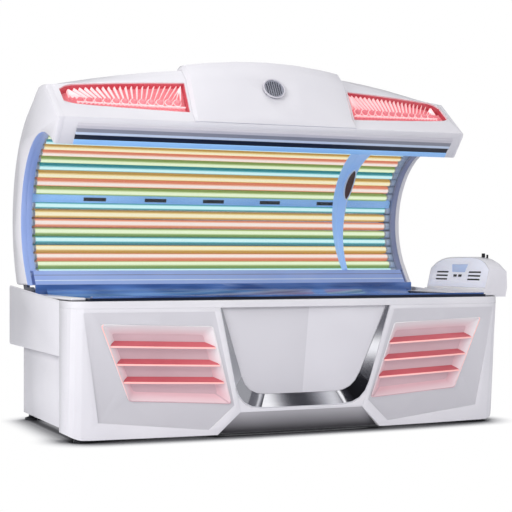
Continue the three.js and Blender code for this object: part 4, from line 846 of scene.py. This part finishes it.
@dataclass
class FrontPanels:
    """The two front panels: white borders round greyer sunk faces."""

    palette: Palette
    facet: tuple = ((992, 545), (919, 85), (434, 36), (324, 136), (434, 545))
    fold: float = 8.0

    def sunk(self, center: Vector) -> bool:
        """Returns whether a point lies within the outline of the sunk face."""
        x, z = abs(center.x - BENCH_X) * 1000, center.z * 1000
        pairs = zip(self.facet, self.facet[1:] + self.facet[:1])
        return all((b[0] - a[0]) * (z - a[1]) - (b[1] - a[1]) * (x - a[0]) < 0 for a, b in pairs)

    def lifted(self, point: Vector) -> Vector:
        """Returns the place of a panel point after the foot of the outer corner is rounded up."""
        out = max(0.0, (abs(point.x - BENCH_X) - 0.97) / 0.07)
        low = max(0.0, (0.06 - point.z) / 0.048)
        return Vector((point.x, point.y, point.z + 0.022 * out ** 2 * low))

    def build(self) -> None:
        """Copies both panels, rounds their outer feet and paints their sunk faces, then the centre panel."""
        for side in ("left", "right"):
            node = f"front_panel_{side}"
            panel = softened(node, f"{node}_skin", 1.5, 25.0, 0.3)
            sign = -1 if side == "left" else 1
            for a, b in zip(self.facet, self.facet[1:] + self.facet[:1]):
                sliced(panel, [at(sign * a[0], 0, a[1])], Vector((sign * (a[1] - b[1]), 0, b[0] - a[0])))
            sliced(panel, [at(sign * x, 0, 0) for x in (985, 1000, 1015, 1028)], Vector((1, 0, 0)))
            sliced(panel, [at(0, 0, z) for z in (20, 35, 60)], Vector((0, 0, 1)))
            warped(panel, self.lifted)
            smooth(panel, 25)
            paint(panel, lambda c, n: int(n.y < -0.3 and self.sunk(c)))
            dress(panel, Body.BASE, Slot.PANEL, self.palette.white, self.palette.facet, replaces=[node])
        centre = softened("front_centre_panel", "front_centre_panel_skin", 1.0)
        # The half past the fold is painted lighter as a highlight.
        sliced(centre, [at(self.fold, 0, 0)], Vector((1, 0, 0)))
        paint(centre, lambda c, n: int(c.x > BENCH_X + self.fold / 1000))
        dress(centre, Body.BASE, Slot.PANEL, self.palette.panel, self.palette.panel_painted_lit,
              replaces=["front_centre_panel"])


@dataclass
class Louvres:
    """The louvres: pink-lit walls, a mauve back and red slats, with painted red light on them and a painted highlight
    on the slats' front edges.
    """

    palette: Palette
    rows: tuple = ((407, 392), (331, 316), (255, 240))
    inner: float = 380.0
    outer: float = 860.0
    front: float = -607.5

    def finish(self, center: Vector, normal: Vector) -> int:
        """Picks the finish of a face of the louvres.

        Args:
            center: The face's middle.
            normal: Its direction.

        Returns:
            0 for a wall, 1 for the back, 2 for the top of a slat, 3 for its edge.
        """
        x, z = abs(center.x - BENCH_X) * 1000, center.z * 1000
        share = (x - self.inner) / (self.outer - self.inner)
        rises = [z - (low + (high - low) * share) for high, low in self.rows]
        rise = min(rises, key=abs)
        if normal.z > 0.4 and -6 < rise < 26:
            return 2
        # The slats' front edges are painted bright coral as a highlight.
        if -16 < rise < 4 and normal.y < -0.8 and abs(normal.x) < 0.3:
            return 3
        depth = center.y * 1000 - self.front - LOUVRE_SLOPE * x
        return 1 if normal.y < -0.85 and depth > 30 else 0

    def build(self) -> None:
        """Copies both louvres and paints their faces."""
        for side in ("left", "right"):
            node = f"louvre_grille_{side}"
            grille = softened(node, f"{node}_skin", 0.8, 25.0, 0.3)
            paint(grille, self.finish)
            dress(grille, Body.BASE, Slot.RED, self.palette.pink[side], self.palette.mauve, self.palette.red,
                  self.palette.slat_edge_highlight, replaces=[node])


@dataclass
class Kick:
    """The white rib under the trim, the recess that slopes back under it and the cheeks at its ends; recess and
    cheeks are grey with painted shade.
    """

    palette: Palette
    cheek: tuple = (364, 410)

    def build(self) -> None:
        """Copies the plate, paints its slope and closes its ends."""
        plate = softened("kick_plate", "kick_plate_skin", 0.8)
        # The slope under the rib is painted darker as shade.
        paint(plate, lambda c, n: int(n.z < -0.2 and c.z < 0.112))
        dress(plate, Body.BASE, Slot.PANEL, self.palette.white, self.palette.kick_painted_shade, replaces=["kick_plate"])
        for side, sign in (("left", -1), ("right", 1)):
            near, far = sorted(sign * x for x in self.cheek)
            cheek = block(f"kick_cheek_{side}", at(near, -522, 14), at(far, -500, 50))
            apply_modifier(cheek, "BEVEL", width=0.002, segments=2, limit_method="ANGLE")
            smooth(cheek, 40)
            # The cheeks take the same painted shade.
            dress(cheek, Body.BASE, Slot.PANEL, self.palette.kick_painted_shade)


@dataclass
class LipRail:
    """The rail under the hood's edge, in bands of silver, graphite, ice blue, navy and blue."""

    palette: Palette
    nose: tuple[float, float] = (-0.305, 0.413)
    lip: tuple[float, float] = (-0.213, 0.320)
    bands: tuple = (0.26, 0.42, 0.53, 0.755)

    def build(self) -> None:
        """Copies the rail, slices it into bands and paints them."""
        rail = softened("lip_rail", "lip_rail_skin", 0.8)
        start = Vector((0.0, TUNNEL_Y + self.nose[0], TUNNEL_Z + self.nose[1]))
        along = Vector((0.0, self.lip[0] - self.nose[0], self.lip[1] - self.nose[1]))
        sliced(rail, [start + along * share for share in self.bands], along)
        paint(rail, lambda c, n: sum(
            (c - start).dot(along) > share * along.length_squared for share in self.bands))
        dress(rail, Body.CANOPY, Slot.SILVER, self.palette.silver, self.palette.graphite, self.palette.ice,
              self.palette.navy, self.palette.blue, replaces=["lip_rail"])


@dataclass
class BottomRail:
    """The rail along the tunnel's foot, with fine bright and dark lines."""

    palette: Palette
    front: tuple[float, float] = (0.252, -0.305)
    back: tuple[float, float] = (0.3036, -0.236)
    bands: tuple = (0.3, 0.36, 0.66, 0.72)

    def build(self) -> None:
        """Copies the rail, slices it into bands and paints them."""
        rail = softened("bottom_rail", "bottom_rail_skin", 0.8)
        start = Vector((0.0, TUNNEL_Y + self.front[0], TUNNEL_Z + self.front[1]))
        along = Vector((0.0, self.back[0] - self.front[0], self.back[1] - self.front[1]))
        sliced(rail, [start + along * share for share in self.bands], along)
        order = (0, 1, 0, 2, 0)
        paint(rail, lambda c, n: order[sum(
            (c - start).dot(along) > share * along.length_squared for share in self.bands)])
        dress(rail, Body.CANOPY, Slot.BLUE, self.palette.lavender, self.palette.ice, self.palette.slate,
              replaces=["bottom_rail"])


@dataclass
class LightWindow:
    """The optics behind one red lens: a fan of ribs, domes with rings, prisms and a bright edge, all lit by a painted
    glow.

    They are modelled flat, with X along the lens, Y up it as a share of its height and Z out of it,
    and then bent over the hood.
    """

    palette: Palette
    side: int
    start: float = 0.428
    end: float = 0.945
    focus: float = 0.68
    fan: float = 0.55
    ribs: int = 26
    domes: int = 12

    def on_hood(self, flat: Vector) -> Vector:
        """Returns the place on the hood of a flat point."""
        bow = flat.x ** 2
        top = Vector((-0.219 + 0.143 * bow, 0.628 - 0.031 * bow))
        low = Vector((-0.292 + 0.075 * bow, 0.462 + 0.034 * bow))
        up = top - low
        spot = low + up * flat.y + Vector((-up.y, up.x)).normalized() * flat.z
        return Vector((BENCH_X + self.side * flat.x, TUNNEL_Y + spot.x, TUNNEL_Z + spot.y))

    def finish(self, pieces: list, name: str, material: bpy.types.Material) -> None:
        """Joins flat pieces, bends them over the hood and dresses them.

        Args:
            pieces: The flat pieces.
            name: The first part of the joined piece's name.
            material: Its finish.
        """
        piece = joined(pieces, f"{name}_{'left' if self.side < 0 else 'right'}")
        warped(piece, self.on_hood, self.side < 0)
        smooth(piece, 30)
        dress(piece, Body.CANOPY, Slot.LENS, material)

    def build_ribs(self) -> None:
        """Sets the ribs out as a fan that opens upwards."""
        rib = block("rib", Vector((-0.0042, 0.0, -0.030)), Vector((0.0042, 1.0, -0.016)))
        select_faces(rib, lambda c, n: n.y < -0.5)
        bpy.ops.transform.resize(value=(0.45, 1.0, 0.7))
        select_faces(rib, lambda c, n: n.z > 0.5)
        bpy.ops.transform.resize(value=(0.3, 1.0, 1.0))
        bpy.ops.object.mode_set(mode="OBJECT")
        fan = []
        for i in range(self.ribs):
            x = self.start + (self.end - self.start) * (i + 0.5) / self.ribs
            lean = (x - self.focus) * self.fan
            end = min(max(x + lean * 0.5, self.start), self.end - 0.012)
            height = 0.42 - 0.18 * max(0.0, (end - 0.86) / 0.115) ** 2
            skew = Matrix(((1, end - x, 0, x), (0, height, 0, 0.51), (0, 0, 1, 0), (0, 0, 0, 1)))
            fan.append(copied(rib, f"rib_{i}", skew))
        bpy.data.objects.remove(rib)
        self.finish(fan, "lens_ribs", self.palette.frost)

    def build_domes(self) -> None:
        """Sets a row of domes with bright rings over the light points."""
        clear_selection()
        bpy.ops.mesh.primitive_uv_sphere_add(segments=16, ring_count=8, radius=1.0)
        dome = bpy.context.object
        make_active(dome)
        bpy.ops.object.mode_set(mode="EDIT")
        bpy.ops.mesh.select_all(action="SELECT")
        bpy.ops.mesh.bisect(plane_co=(0, 0, 0), plane_no=(0, 0, 1), clear_inner=True, use_fill=True)
        bpy.ops.object.mode_set(mode="OBJECT")
        clear_selection()
        bpy.ops.mesh.primitive_torus_add(
            major_radius=1.12, minor_radius=0.13, major_segments=20, minor_segments=6)
        ring = bpy.context.object
        make_active(ring)
        bpy.ops.object.mode_set(mode="EDIT")
        bpy.ops.mesh.select_all(action="SELECT")
        bpy.ops.mesh.bisect(plane_co=(0, 0, -0.05), plane_no=(0, 0, 1), clear_inner=True, use_fill=True)
        bpy.ops.object.mode_set(mode="OBJECT")
        spots = [self.start + 0.03 + 0.0395 * i for i in range(self.domes)]
        size = Matrix.Diagonal((0.0155, 0.088, 0.014, 1.0))
        for model, name, material in (
            (dome, "lens_domes", self.palette.rose), (ring, "lens_rings", self.palette.frost),
        ):
            row = [
                copied(model, f"{name}_{i}", Matrix.Translation((x, 0.4, -0.0195)) @ size)
                for i, x in enumerate(spots)]
            bpy.data.objects.remove(model)
            self.finish(row, name, material)

    def build_prisms(self) -> None:
        """Sets two rows of small prisms along the foot of the lens and a patch at its end."""
        prism = block("prism", Vector((-0.0085, -0.032, 0.0)), Vector((0.0085, 0.032, 0.010)))
        select_faces(prism, lambda c, n: n.z > 0.5)
        bpy.ops.transform.resize(value=(0.15, 0.3, 1.0))
        bpy.ops.object.mode_set(mode="OBJECT")
        spots = [(self.start + 0.0095 + 0.0185 * i, 0.105 + 0.068 * j) for i in range(28) for j in range(2)]
        spots += [(0.918 + 0.0185 * i, 0.27 + 0.068 * j) for i in range(2) for j in range(3)]
        patch = [
            copied(prism, f"prism_{i}", Matrix.Translation((x, y, -0.0155)))
            for i, (x, y) in enumerate(spots)]
        bpy.data.objects.remove(prism)
        self.finish(patch, "lens_prisms", self.palette.rose)

    def build_edge(self) -> None:
        """Runs a bar with a painted glow along the lens, above the prisms."""
        bar = block("bar", Vector((self.start, 0.215, -0.017)), Vector((self.end - 0.03, 0.245, -0.006)))
        select_faces(bar, lambda c, n: n.z > 0.5)
        bpy.ops.transform.resize(value=(1.0, 0.5, 1.0))
        bpy.ops.object.mode_set(mode="OBJECT")
        sliced(bar, [Vector((self.start + 0.04 * i, 0, 0)) for i in range(1, 13)], Vector((1, 0, 0)))
        self.finish([bar], "lens_edge", self.palette.frost)

    def build_tray(self) -> None:
        """Copies the tray and paints its walls and its floor."""
        node = f"light_tray_{'left' if self.side < 0 else 'right'}"
        tray = softened(node, f"{node}_skin", 0.6)
        # The walls stay ruby as painted shade; faces turned out and up are rose as painted light.
        paint(tray, lambda c, n: int(n.dot(Vector((0.0, -0.92, 0.4))) > 0.7))
        dress(tray, Body.CANOPY, Slot.RED, self.palette.ruby, self.palette.rose, replaces=[node])

    def build(self) -> None:
        """Builds the tray and all the optics of this lens."""
        self.build_tray()
        self.build_ribs()
        self.build_domes()
        self.build_prisms()
        self.build_edge()


def tunnel_basis(degrees: float) -> Matrix:
    """Returns the turn that lays X along the bed, Y round the tunnel and Z towards its axis at an angle."""
    turn = math.radians(degrees)
    inward = Vector((0, -math.cos(turn), -math.sin(turn)))
    tangent = Vector((0, -math.sin(turn), math.cos(turn)))
    return Matrix((Vector((1, 0, 0)), tangent, inward)).transposed().to_4x4()


@dataclass
class VentStrip:
    """The blue strip between the lamp banks and the near-black grilles set into it, painted shade for the dark of
    their cells.
    """

    palette: Palette
    angle: float = 15.5
    front: float = 0.4086
    back: float = 0.4505
    half: tuple[float, float] = (0.9747, 0.0185)
    grille: tuple[float, float] = (0.0565, 0.0088)
    spots: tuple = (-0.661, -0.349, -0.040, 0.272, 0.596)

    def build(self) -> None:
        """Models the strip and one grille of five cells, and copies the grille."""
        depth = self.back - self.front
        strip = block("vent_strip_skin", Vector((-self.half[0], -self.half[1], 0)),
                      Vector((self.half[0], self.half[1], depth)))
        apply_modifier(strip, "BEVEL", width=0.002, segments=2, limit_method="ANGLE")
        strip.data.transform(Matrix.Translation(on_tunnel(self.back, self.angle)) @ tunnel_basis(self.angle))
        smooth(strip, 40)
        dress(strip, Body.CANOPY, Slot.BLUE, self.palette.blue, replaces=["vent_strip"])
        grille = block("grille", Vector((-self.grille[0], -self.grille[1], 0.0)),
                       Vector((self.grille[0], self.grille[1], 0.008)))
        cell = self.grille[0] * 2 / 5
        sliced(grille, [Vector((-self.grille[0] + cell * i, 0, 0)) for i in range(1, 5)], Vector((1, 0, 0)))
        select_faces(grille, lambda c, n: n.z > 0.5)
        bpy.ops.mesh.inset(thickness=0.0014, use_individual=True)
        bpy.ops.transform.translate(value=(0, 0, -0.0006))
        bpy.ops.object.mode_set(mode="OBJECT")
        for i, x in enumerate(self.spots):
            spot = on_tunnel(self.front + 0.007, self.angle, x)
            twin = copied(grille, f"vent_slot_{i + 1}", Matrix.Translation(spot) @ tunnel_basis(self.angle))
            # The grilles are near-black as painted shade.
            dress(twin, Body.CANOPY, Slot.DARK, self.palette.slot_shade)
        bpy.data.objects.remove(grille)


@dataclass
class TunnelRib:
    """The rib across the tunnel, with bright edges painted as highlights and a smoked oval window over its slit."""

    palette: Palette
    angle: float = 34.2
    radius: float = 0.377
    x: float = 0.6895
    tilt: float = 5.0
    window: tuple[float, float, float] = (0.027, 0.094, 0.010)
    foot_angle: float = -37.0
    top_angle: float = 121.0
    foot_x: float = 0.665
    lean: float = 0.040

    def widened(self, point: Vector) -> Vector:
        """Returns the place of a point after the rib is spread along the bed, most at its middle and top."""
        angle = math.degrees(math.atan2(point.z - TUNNEL_Z, point.y - TUNNEL_Y))
        share = min(max((angle - self.foot_angle) / (self.top_angle - self.foot_angle), 0.0), 1.0)
        middle = BENCH_X + self.foot_x + self.lean * share ** 2
        spread = 1.1 + 0.6 * min(share / 0.4, 1.0)
        return Vector((middle + (point.x - middle) * spread, point.y, point.z))

    def build(self) -> None:
        """Spreads a copy of the rib, paints a highlight on its far slope and sets in the window."""
        rib = softened("divider_arch", "divider_arch_skin", 1.5)
        warped(rib, self.widened)
        smooth(rib, 30)
        # The far slope is painted ice blue as a highlight.
        paint(rib, lambda c, n: int(n.x > 0.25))
        dress(rib, Body.CANOPY, Slot.BLUE, self.palette.sky, self.palette.ice, replaces=["divider_arch"])
        self.build_window()

    def laid(self, point: Vector) -> Vector:
        """Returns the place of a window point after it is tilted and bent round the tunnel."""
        turn = math.radians(self.tilt)
        x = self.x + point.x * math.cos(turn) + point.z * math.sin(turn)
        radius = self.radius + point.x * math.sin(turn) - point.z * math.cos(turn)
        return on_tunnel(radius, self.angle + math.degrees(point.y / self.radius), x)

    def build_window(self) -> None:
        """Models the oval window with its pale frame and lays it on the rib's crest."""
        wide, high, deep = self.window
        clear_selection()
        bpy.ops.mesh.primitive_cylinder_add(vertices=32, radius=1.0, depth=deep)
        window = bpy.context.object
        window.name = "rib_window"
        window.data.transform(Matrix.Diagonal((wide, high, 1.0, 1.0)))
        apply_modifier(window, "BEVEL", width=0.0012, segments=2)
        select_faces(window, lambda c, n: n.z > 0.99)
        bpy.ops.mesh.inset(thickness=0.0055)
        bpy.ops.transform.translate(value=(0, 0, -0.001))
        bpy.ops.object.mode_set(mode="OBJECT")
        for face in window.data.polygons:
            face.material_index = int(face.select)
        sliced(window, [Vector((0, high * i / 6, 0)) for i in range(-5, 6)], Vector((0, 1, 0)))
        warped(window, self.laid)
        smooth(window, 40)
        dress(window, Body.CANOPY, Slot.DARK, self.palette.ice, self.palette.brown)


@dataclass
class Speaker:
    """The round speaker in the cap: its slotted disc and a polished ring round it."""

    palette: Palette
    lift: float = 29.5

    def build(self) -> None:
        """Copies the disc and sets the ring on the cap."""
        disc = softened("speaker_grille", "speaker_disc", 0.6)
        dress(disc, Body.CANOPY, Slot.SILVER, self.palette.graphite, replaces=["speaker_grille"])
        low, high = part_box("speaker_grille")
        turn = math.radians(self.lift)
        axis = Vector((0.0, -math.cos(turn), math.sin(turn)))
        clear_selection()
        bpy.ops.mesh.primitive_torus_add(
            major_radius=0.0515, minor_radius=0.0038, major_segments=48, minor_segments=12)
        ring = bpy.context.object
        ring.name = "speaker_ring"
        make_active(ring)
        bpy.ops.object.mode_set(mode="EDIT")
        bpy.ops.mesh.select_all(action="SELECT")
        bpy.ops.mesh.bisect(plane_co=(0, 0, -0.002), plane_no=(0, 0, 1), clear_inner=True, use_fill=True)
        bpy.ops.object.mode_set(mode="OBJECT")
        place = Matrix.Translation((low + high) / 2 + axis * 0.0065)
        ring.data.transform(place @ axis.to_track_quat("Z", "Y").to_matrix().to_4x4())
        smooth(ring, 40)
        dress(ring, Body.CANOPY, Slot.SILVER, self.palette.silver)


@dataclass
class ConsoleTrim:
    """The near-black slots in the console's face, painted shade for the dark inside them, and the peg beside its
    lever.
    """

    palette: Palette
    columns: tuple = (-285, 15)
    heights: tuple = (668, 686, 704)
    straight: float = 1.041
    squeeze: float = 0.31
    fall: float = 27.0
    waist: float = 0.69
    lever_pivot: float = 0.7811
    lever_share: float = 0.56

    def on_face(self, flat: Vector) -> Vector:
        """Returns the place of a point given as depth behind the face, Y and Z, in millimetres."""
        return at(1054.3 + 0.2405 * (flat.z - 622) + flat.x, flat.y, flat.z)

    def rounded_off(self, point: Vector) -> Vector:
        """Returns the place of a housing point after its outer end is drawn in and rounded down."""
        over = max(0.0, point.x - self.straight) * self.squeeze
        drop = self.fall * over ** 2 * max(0.0, (point.z - 0.62) / 0.16)
        return Vector((min(point.x, self.straight) + over, point.y, point.z - drop))

    def build_housing(self) -> None:
        """Slices a copy of the housing across, rounds its outer end and paints shade on its lower side."""
        housing = softened("console_housing", "console_housing_skin", 3.0)
        sliced(housing, [Vector((self.straight + 0.02 * i, 0, 0)) for i in range(6)], Vector((1, 0, 0)))
        sliced(housing, [Vector((0, 0, self.waist))], Vector((0, 0, 1)))
        warped(housing, self.rounded_off)
        smooth(housing, 40)
        # The lower side, turned from the light, is painted grey pearl as shade.
        paint(housing, lambda c, n: int(n.x > 0.5 and c.z < self.waist))
        dress(housing, Body.BASE, Slot.WHITE, self.palette.white, self.palette.facet,
              replaces=["console_housing"])

    def build(self) -> None:
        """Models the housing, one slot and its copies, and the peg."""
        self.build_housing()
        slot = block("slot", Vector((1.2, -55.4, -3.6)), Vector((4.0, 55.4, 3.6)))
        apply_modifier(slot, "BEVEL", width=0.6, segments=2)
        for i, y in enumerate(self.columns):
            for j, z in enumerate(self.heights):
                twin = copied(slot, f"console_slot_{i + 1}_{j + 1}", Matrix.Translation((0, y, z)))
                warped(twin, self.on_face)
                # Each slot is near-black as painted shade.
                dress(twin, Body.BASE, Slot.DARK, self.palette.slot_shade)
        bpy.data.objects.remove(slot)
        low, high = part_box("console_lever")
        lever = softened("console_lever", "console_lever_skin", 1.0)
        warped(lever, lambda p: Vector((p.x, p.y, p.z - max(0.0, p.z - self.lever_pivot) * (1 - self.lever_share))))
        dress(lever, Body.LEVER, Slot.DARK, self.palette.dark, replaces=["console_lever"])
        foot = Vector(((low.x + high.x) / 2 + 0.004, low.y - 0.022, low.z - 0.004))
        peg = rod("lever_peg", 0.005, foot, foot + Vector((0, 0, 0.016)), 20)
        select_faces(peg, lambda c, n: n.z > 0.5)
        bpy.ops.mesh.inset(thickness=-0.002)
        bpy.ops.mesh.extrude_region_move(TRANSFORM_OT_translate={"value": (0, 0, 0.004)})
        bpy.ops.object.mode_set(mode="OBJECT")
        smooth(peg, 40)
        dress(peg, Body.BASE, Slot.DARK, self.palette.dark)


@dataclass
class DeckBars:
    """The white bars with dark gaskets across both ends of the deck, and the navy apron along its back."""

    palette: Palette
    span: tuple = (968.0, 1030.0)
    run: tuple = (-520.0, 196.0)

    def build(self) -> None:
        """Models a bar and its gasket at each end, and the apron."""
        # The apron takes the bench's acrylic, with its painted reflection streaks and glow.
        apron = block("bench_apron", at(-1000, 206, 592.2), at(1000, 222, 649))
        apply_modifier(apron, "BEVEL", width=0.003, segments=2, limit_method="ANGLE")
        smooth(apron, 40)
        dress(apron, Body.BASE, Slot.NAVY, self.palette.bench)
        # A pale slate bead on the bench rim's front edge: a painted highlight line.
        highlight_bead = block("bench_highlight_bead", at(-955, -556, 607), at(955, -549, 612))
        apply_modifier(highlight_bead, "BEVEL", width=0.0018, segments=2, limit_method="ANGLE")
        smooth(highlight_bead, 40)
        dress(highlight_bead, Body.BASE, Slot.SILVER, self.palette.slate)
        for side, sign in (("left", -1), ("right", 1)):
            near, far = sorted(sign * x for x in self.span)
            bar = block(f"deck_bar_{side}", at(near, self.run[0], 594.5), at(far, self.run[1], 606))
            apply_modifier(bar, "BEVEL", width=0.004, segments=3, limit_method="ANGLE")
            smooth(bar, 40)
            dress(bar, Body.BASE, Slot.WHITE, self.palette.white)
            seal = block(f"deck_gasket_{side}", at(near - 4, self.run[0] - 4, 592.2),
                         at(far + 4, self.run[1] + 4, 594.5))
            apply_modifier(seal, "BEVEL", width=0.0008, segments=2, limit_method="ANGLE")
            dress(seal, Body.BASE, Slot.DARK, self.palette.dark)


@dataclass
class Studio:
    """The floor, the backdrop, the light and the camera."""

    lens_mm: float = 93.45
    yaw: float = 23.3
    eye: tuple[float, float, float] = (-2.607, -5.8315, 0.761)
    shift: float = 0.009

    def build_camera(self) -> None:
        """Puts the camera at the photograph's viewpoint."""
        data = bpy.data.cameras.new("camera")
        data.lens = self.lens_mm
        data.sensor_width = 36.0
        data.sensor_fit = "HORIZONTAL"
        data.shift_y = self.shift
        camera = bpy.data.objects.new("camera", data)
        bpy.context.scene.collection.objects.link(camera)
        camera.location = self.eye
        camera.rotation_euler = (math.radians(90), 0.0, math.radians(-self.yaw))
        bpy.context.scene.camera = camera

    def white_ground(self) -> bpy.types.Material:
        """Returns a floor finish that is white to the eye, with the shadow under the bed painted into its glow from
        ambient occlusion.
        """
        material = bpy.data.materials.new("white_floor")
        material.use_nodes = True
        tree = material.node_tree
        tree.nodes.clear()
        path = add_node(tree, "ShaderNodeLightPath")
        near = add_node(tree, "ShaderNodeAmbientOcclusion", {"Distance": 0.16, "samples": 24})
        shadow = add_node(tree, "ShaderNodeValToRGB", {}, {"Fac": (near, "AO")})
        set_ramp(shadow, [(0.34, "121214"), (0.6, "727276"), (0.84, "E6E6E8"), (0.95, "FFFFFF")])
        seen = add_node(tree, "ShaderNodeEmission", {}, {"Color": (shadow, "Color")})
        matt = add_node(tree, "ShaderNodeBsdfDiffuse", {"Color": linear("F2F2F5")})
        mix = add_node(
            tree, "ShaderNodeMixShader", {}, {0: (path, "Is Camera Ray"), 1: (matt, 0), 2: (seen, 0)})
        add_node(tree, "ShaderNodeOutputMaterial", {}, {"Surface": (mix, 0)})
        return material

    def build_floor(self) -> None:
        """Lays a pale floor."""
        clear_selection()
        bpy.ops.mesh.primitive_plane_add(size=40.0, location=(0.0, 0.0, 0.0))
        floor = bpy.context.object
        floor.name = "studio_floor"
        floor.data.materials.append(self.white_ground())

    def build_light(self) -> None:
        """Hangs soft lamps round the bed and lights the world evenly."""
        world = bpy.data.worlds.new("studio")
        world.use_nodes = True
        bpy.context.scene.world = world
        tree = world.node_tree
        tree.nodes.clear()
        path = add_node(tree, "ShaderNodeLightPath")
        seen = add_node(
            tree, "ShaderNodeMath", {"operation": "MAXIMUM"},
            {0: (path, "Is Camera Ray"), 1: (path, "Is Transmission Ray")})
        dim = add_node(tree, "ShaderNodeBackground", {"Color": linear("F4F5FA"), "Strength": 0.46})
        plain = add_node(tree, "ShaderNodeBackground", {"Color": (1, 1, 1, 1), "Strength": 1.0})
        mix = add_node(
            tree, "ShaderNodeMixShader", {}, {0: (seen, 0), 1: (dim, 0), 2: (plain, 0)})
        add_node(tree, "ShaderNodeOutputWorld", {}, {"Surface": (mix, 0)})
        self.hang("key", (-5.0, -2.2, 2.8), (0.0, 0.0, 0.7), 2.6, 150.0)
        self.hang("front", (1.6, -5.2, 3.2), (0.0, 0.0, 0.6), 2.4, 75.0)
        self.hang("top", (0.0, 0.2, 4.6), (0.0, 0.0, 0.8), 2.6, 35.0)
        bar, arm, corner = (-0.1, -0.54, 0.15), (0.2, -0.55, 0.35), (0.12, -0.55, 0.17)
        self.card("bar_card", (1.38, -2.92, 2.24), bar, (2.6, 1.8), "X",
                  [(0.0, "5A5A60"), (0.405, "6A6A70"), (0.42, "F0F0F2"), (0.43, "D8D8DC"), (0.46, "84848A"),
                   (0.488, "36363C"), (0.54, "303036"), (0.56, "8E8E94"), (0.585, "FFFFFF"), (0.625, "FFFFFF"),
                   (0.64, "2C2C32"), (1.0, "18181C")])
        self.card("arm_card", (-1.33, -3.1, 0.4), arm, (0.44, 0.7), "Y",
                  [(0.0, "1A1A1E"), (0.16, "34343A"), (0.27, "86868A"), (0.36, "FAFAFC"), (0.46, "FFFFFF"),
                   (0.51, "9A9A9E"), (0.58, "66666C")])
        self.card("corner_card", (-0.5, -3.75, 1.2), corner, (3.6, 2.4), "X",
                  [(0.0, "101012"), (0.5, "1A1A1E"), (1.0, "26262A")])

    def hang(
        self, name: str, place: Sequence[float], aim: Sequence[float], size: float, power: float
    ) -> None:
        """Hangs one soft lamp.

        Args:
            name: The lamp's name.
            place: Where it hangs.
            aim: The point that it faces.
            size: The side of its square face in metres.
            power: Its power in watts.
        """
        data = bpy.data.lights.new(name, "AREA")
        data.size = size
        data.energy = power
        lamp = bpy.data.objects.new(name, data)
        bpy.context.scene.collection.objects.link(lamp)
        lamp.location = place
        lamp.visible_glossy = False
        lamp.rotation_euler = (Vector(aim) - Vector(place)).to_track_quat("-Z", "Y").to_euler()

    def card(
        self, name: str, place: Sequence[float], aim: Sequence[float], size: Sequence[float], axis: str,
        stops: Sequence[tuple[float, str]]
    ) -> None:
        """Hangs a card that only the mirrors of the bed show.

        Args:
            name: The card's name.
            place: Its middle.
            aim: The point that it faces.
            size: Its width and height in metres.
            axis: "X" for tones across it, "Y" for tones up it.
            stops: Its tones.
        """
        clear_selection()
        bpy.ops.mesh.primitive_plane_add(size=1.0)
        sheet = bpy.context.object
        sheet.name = name
        sheet.scale = (size[0], size[1], 1.0)
        sheet.rotation_euler = (Vector(aim) - Vector(place)).to_track_quat("Z", "Y").to_euler()
        sheet.location = place
        settle(sheet)
        material = bpy.data.materials.new(f"{name}_paper")
        material.use_nodes = True
        tree = material.node_tree
        tree.nodes.clear()
        where = add_node(tree, "ShaderNodeTexCoord")
        across = add_node(tree, "ShaderNodeSeparateXYZ", {}, {0: (where, "UV")})
        tone = add_node(tree, "ShaderNodeValToRGB", {}, {"Fac": (across, axis)})
        set_ramp(tone, stops)
        light = add_node(tree, "ShaderNodeEmission", {"Strength": 1.3}, {"Color": (tone, "Color")})
        add_node(tree, "ShaderNodeOutputMaterial", {}, {"Surface": (light, 0)})
        sheet.data.materials.append(material)
        sheet.visible_camera = sheet.visible_diffuse = sheet.visible_shadow = False
        sheet.visible_transmission = sheet.visible_volume_scatter = False

    def build(self) -> None:
        """Builds the camera, the floor and the light."""
        self.build_camera()
        self.build_floor()
        self.build_light()
        bpy.context.scene.view_settings.view_transform = "Standard"


def main() -> None:
    """Builds the bed's visual pieces and the studio in order."""
    logging.basicConfig(level=logging.INFO, format="%(name)s %(message)s")
    palette = Palette()
    palette.dress_nodes()
    Studio().build()
    for kit in (
        Covers(palette), ChromeTrim(palette), FrontPanels(palette), Louvres(palette), Kick(palette), LipRail(palette),
        BottomRail(palette), Lamps(palette), LightWindow(palette, -1), LightWindow(palette, 1),
        VentStrip(palette), TunnelRib(palette), Speaker(palette), ConsoleTrim(palette), DeckBars(palette),
    ):
        kit.build()


if __name__ == "__main__":
    main()
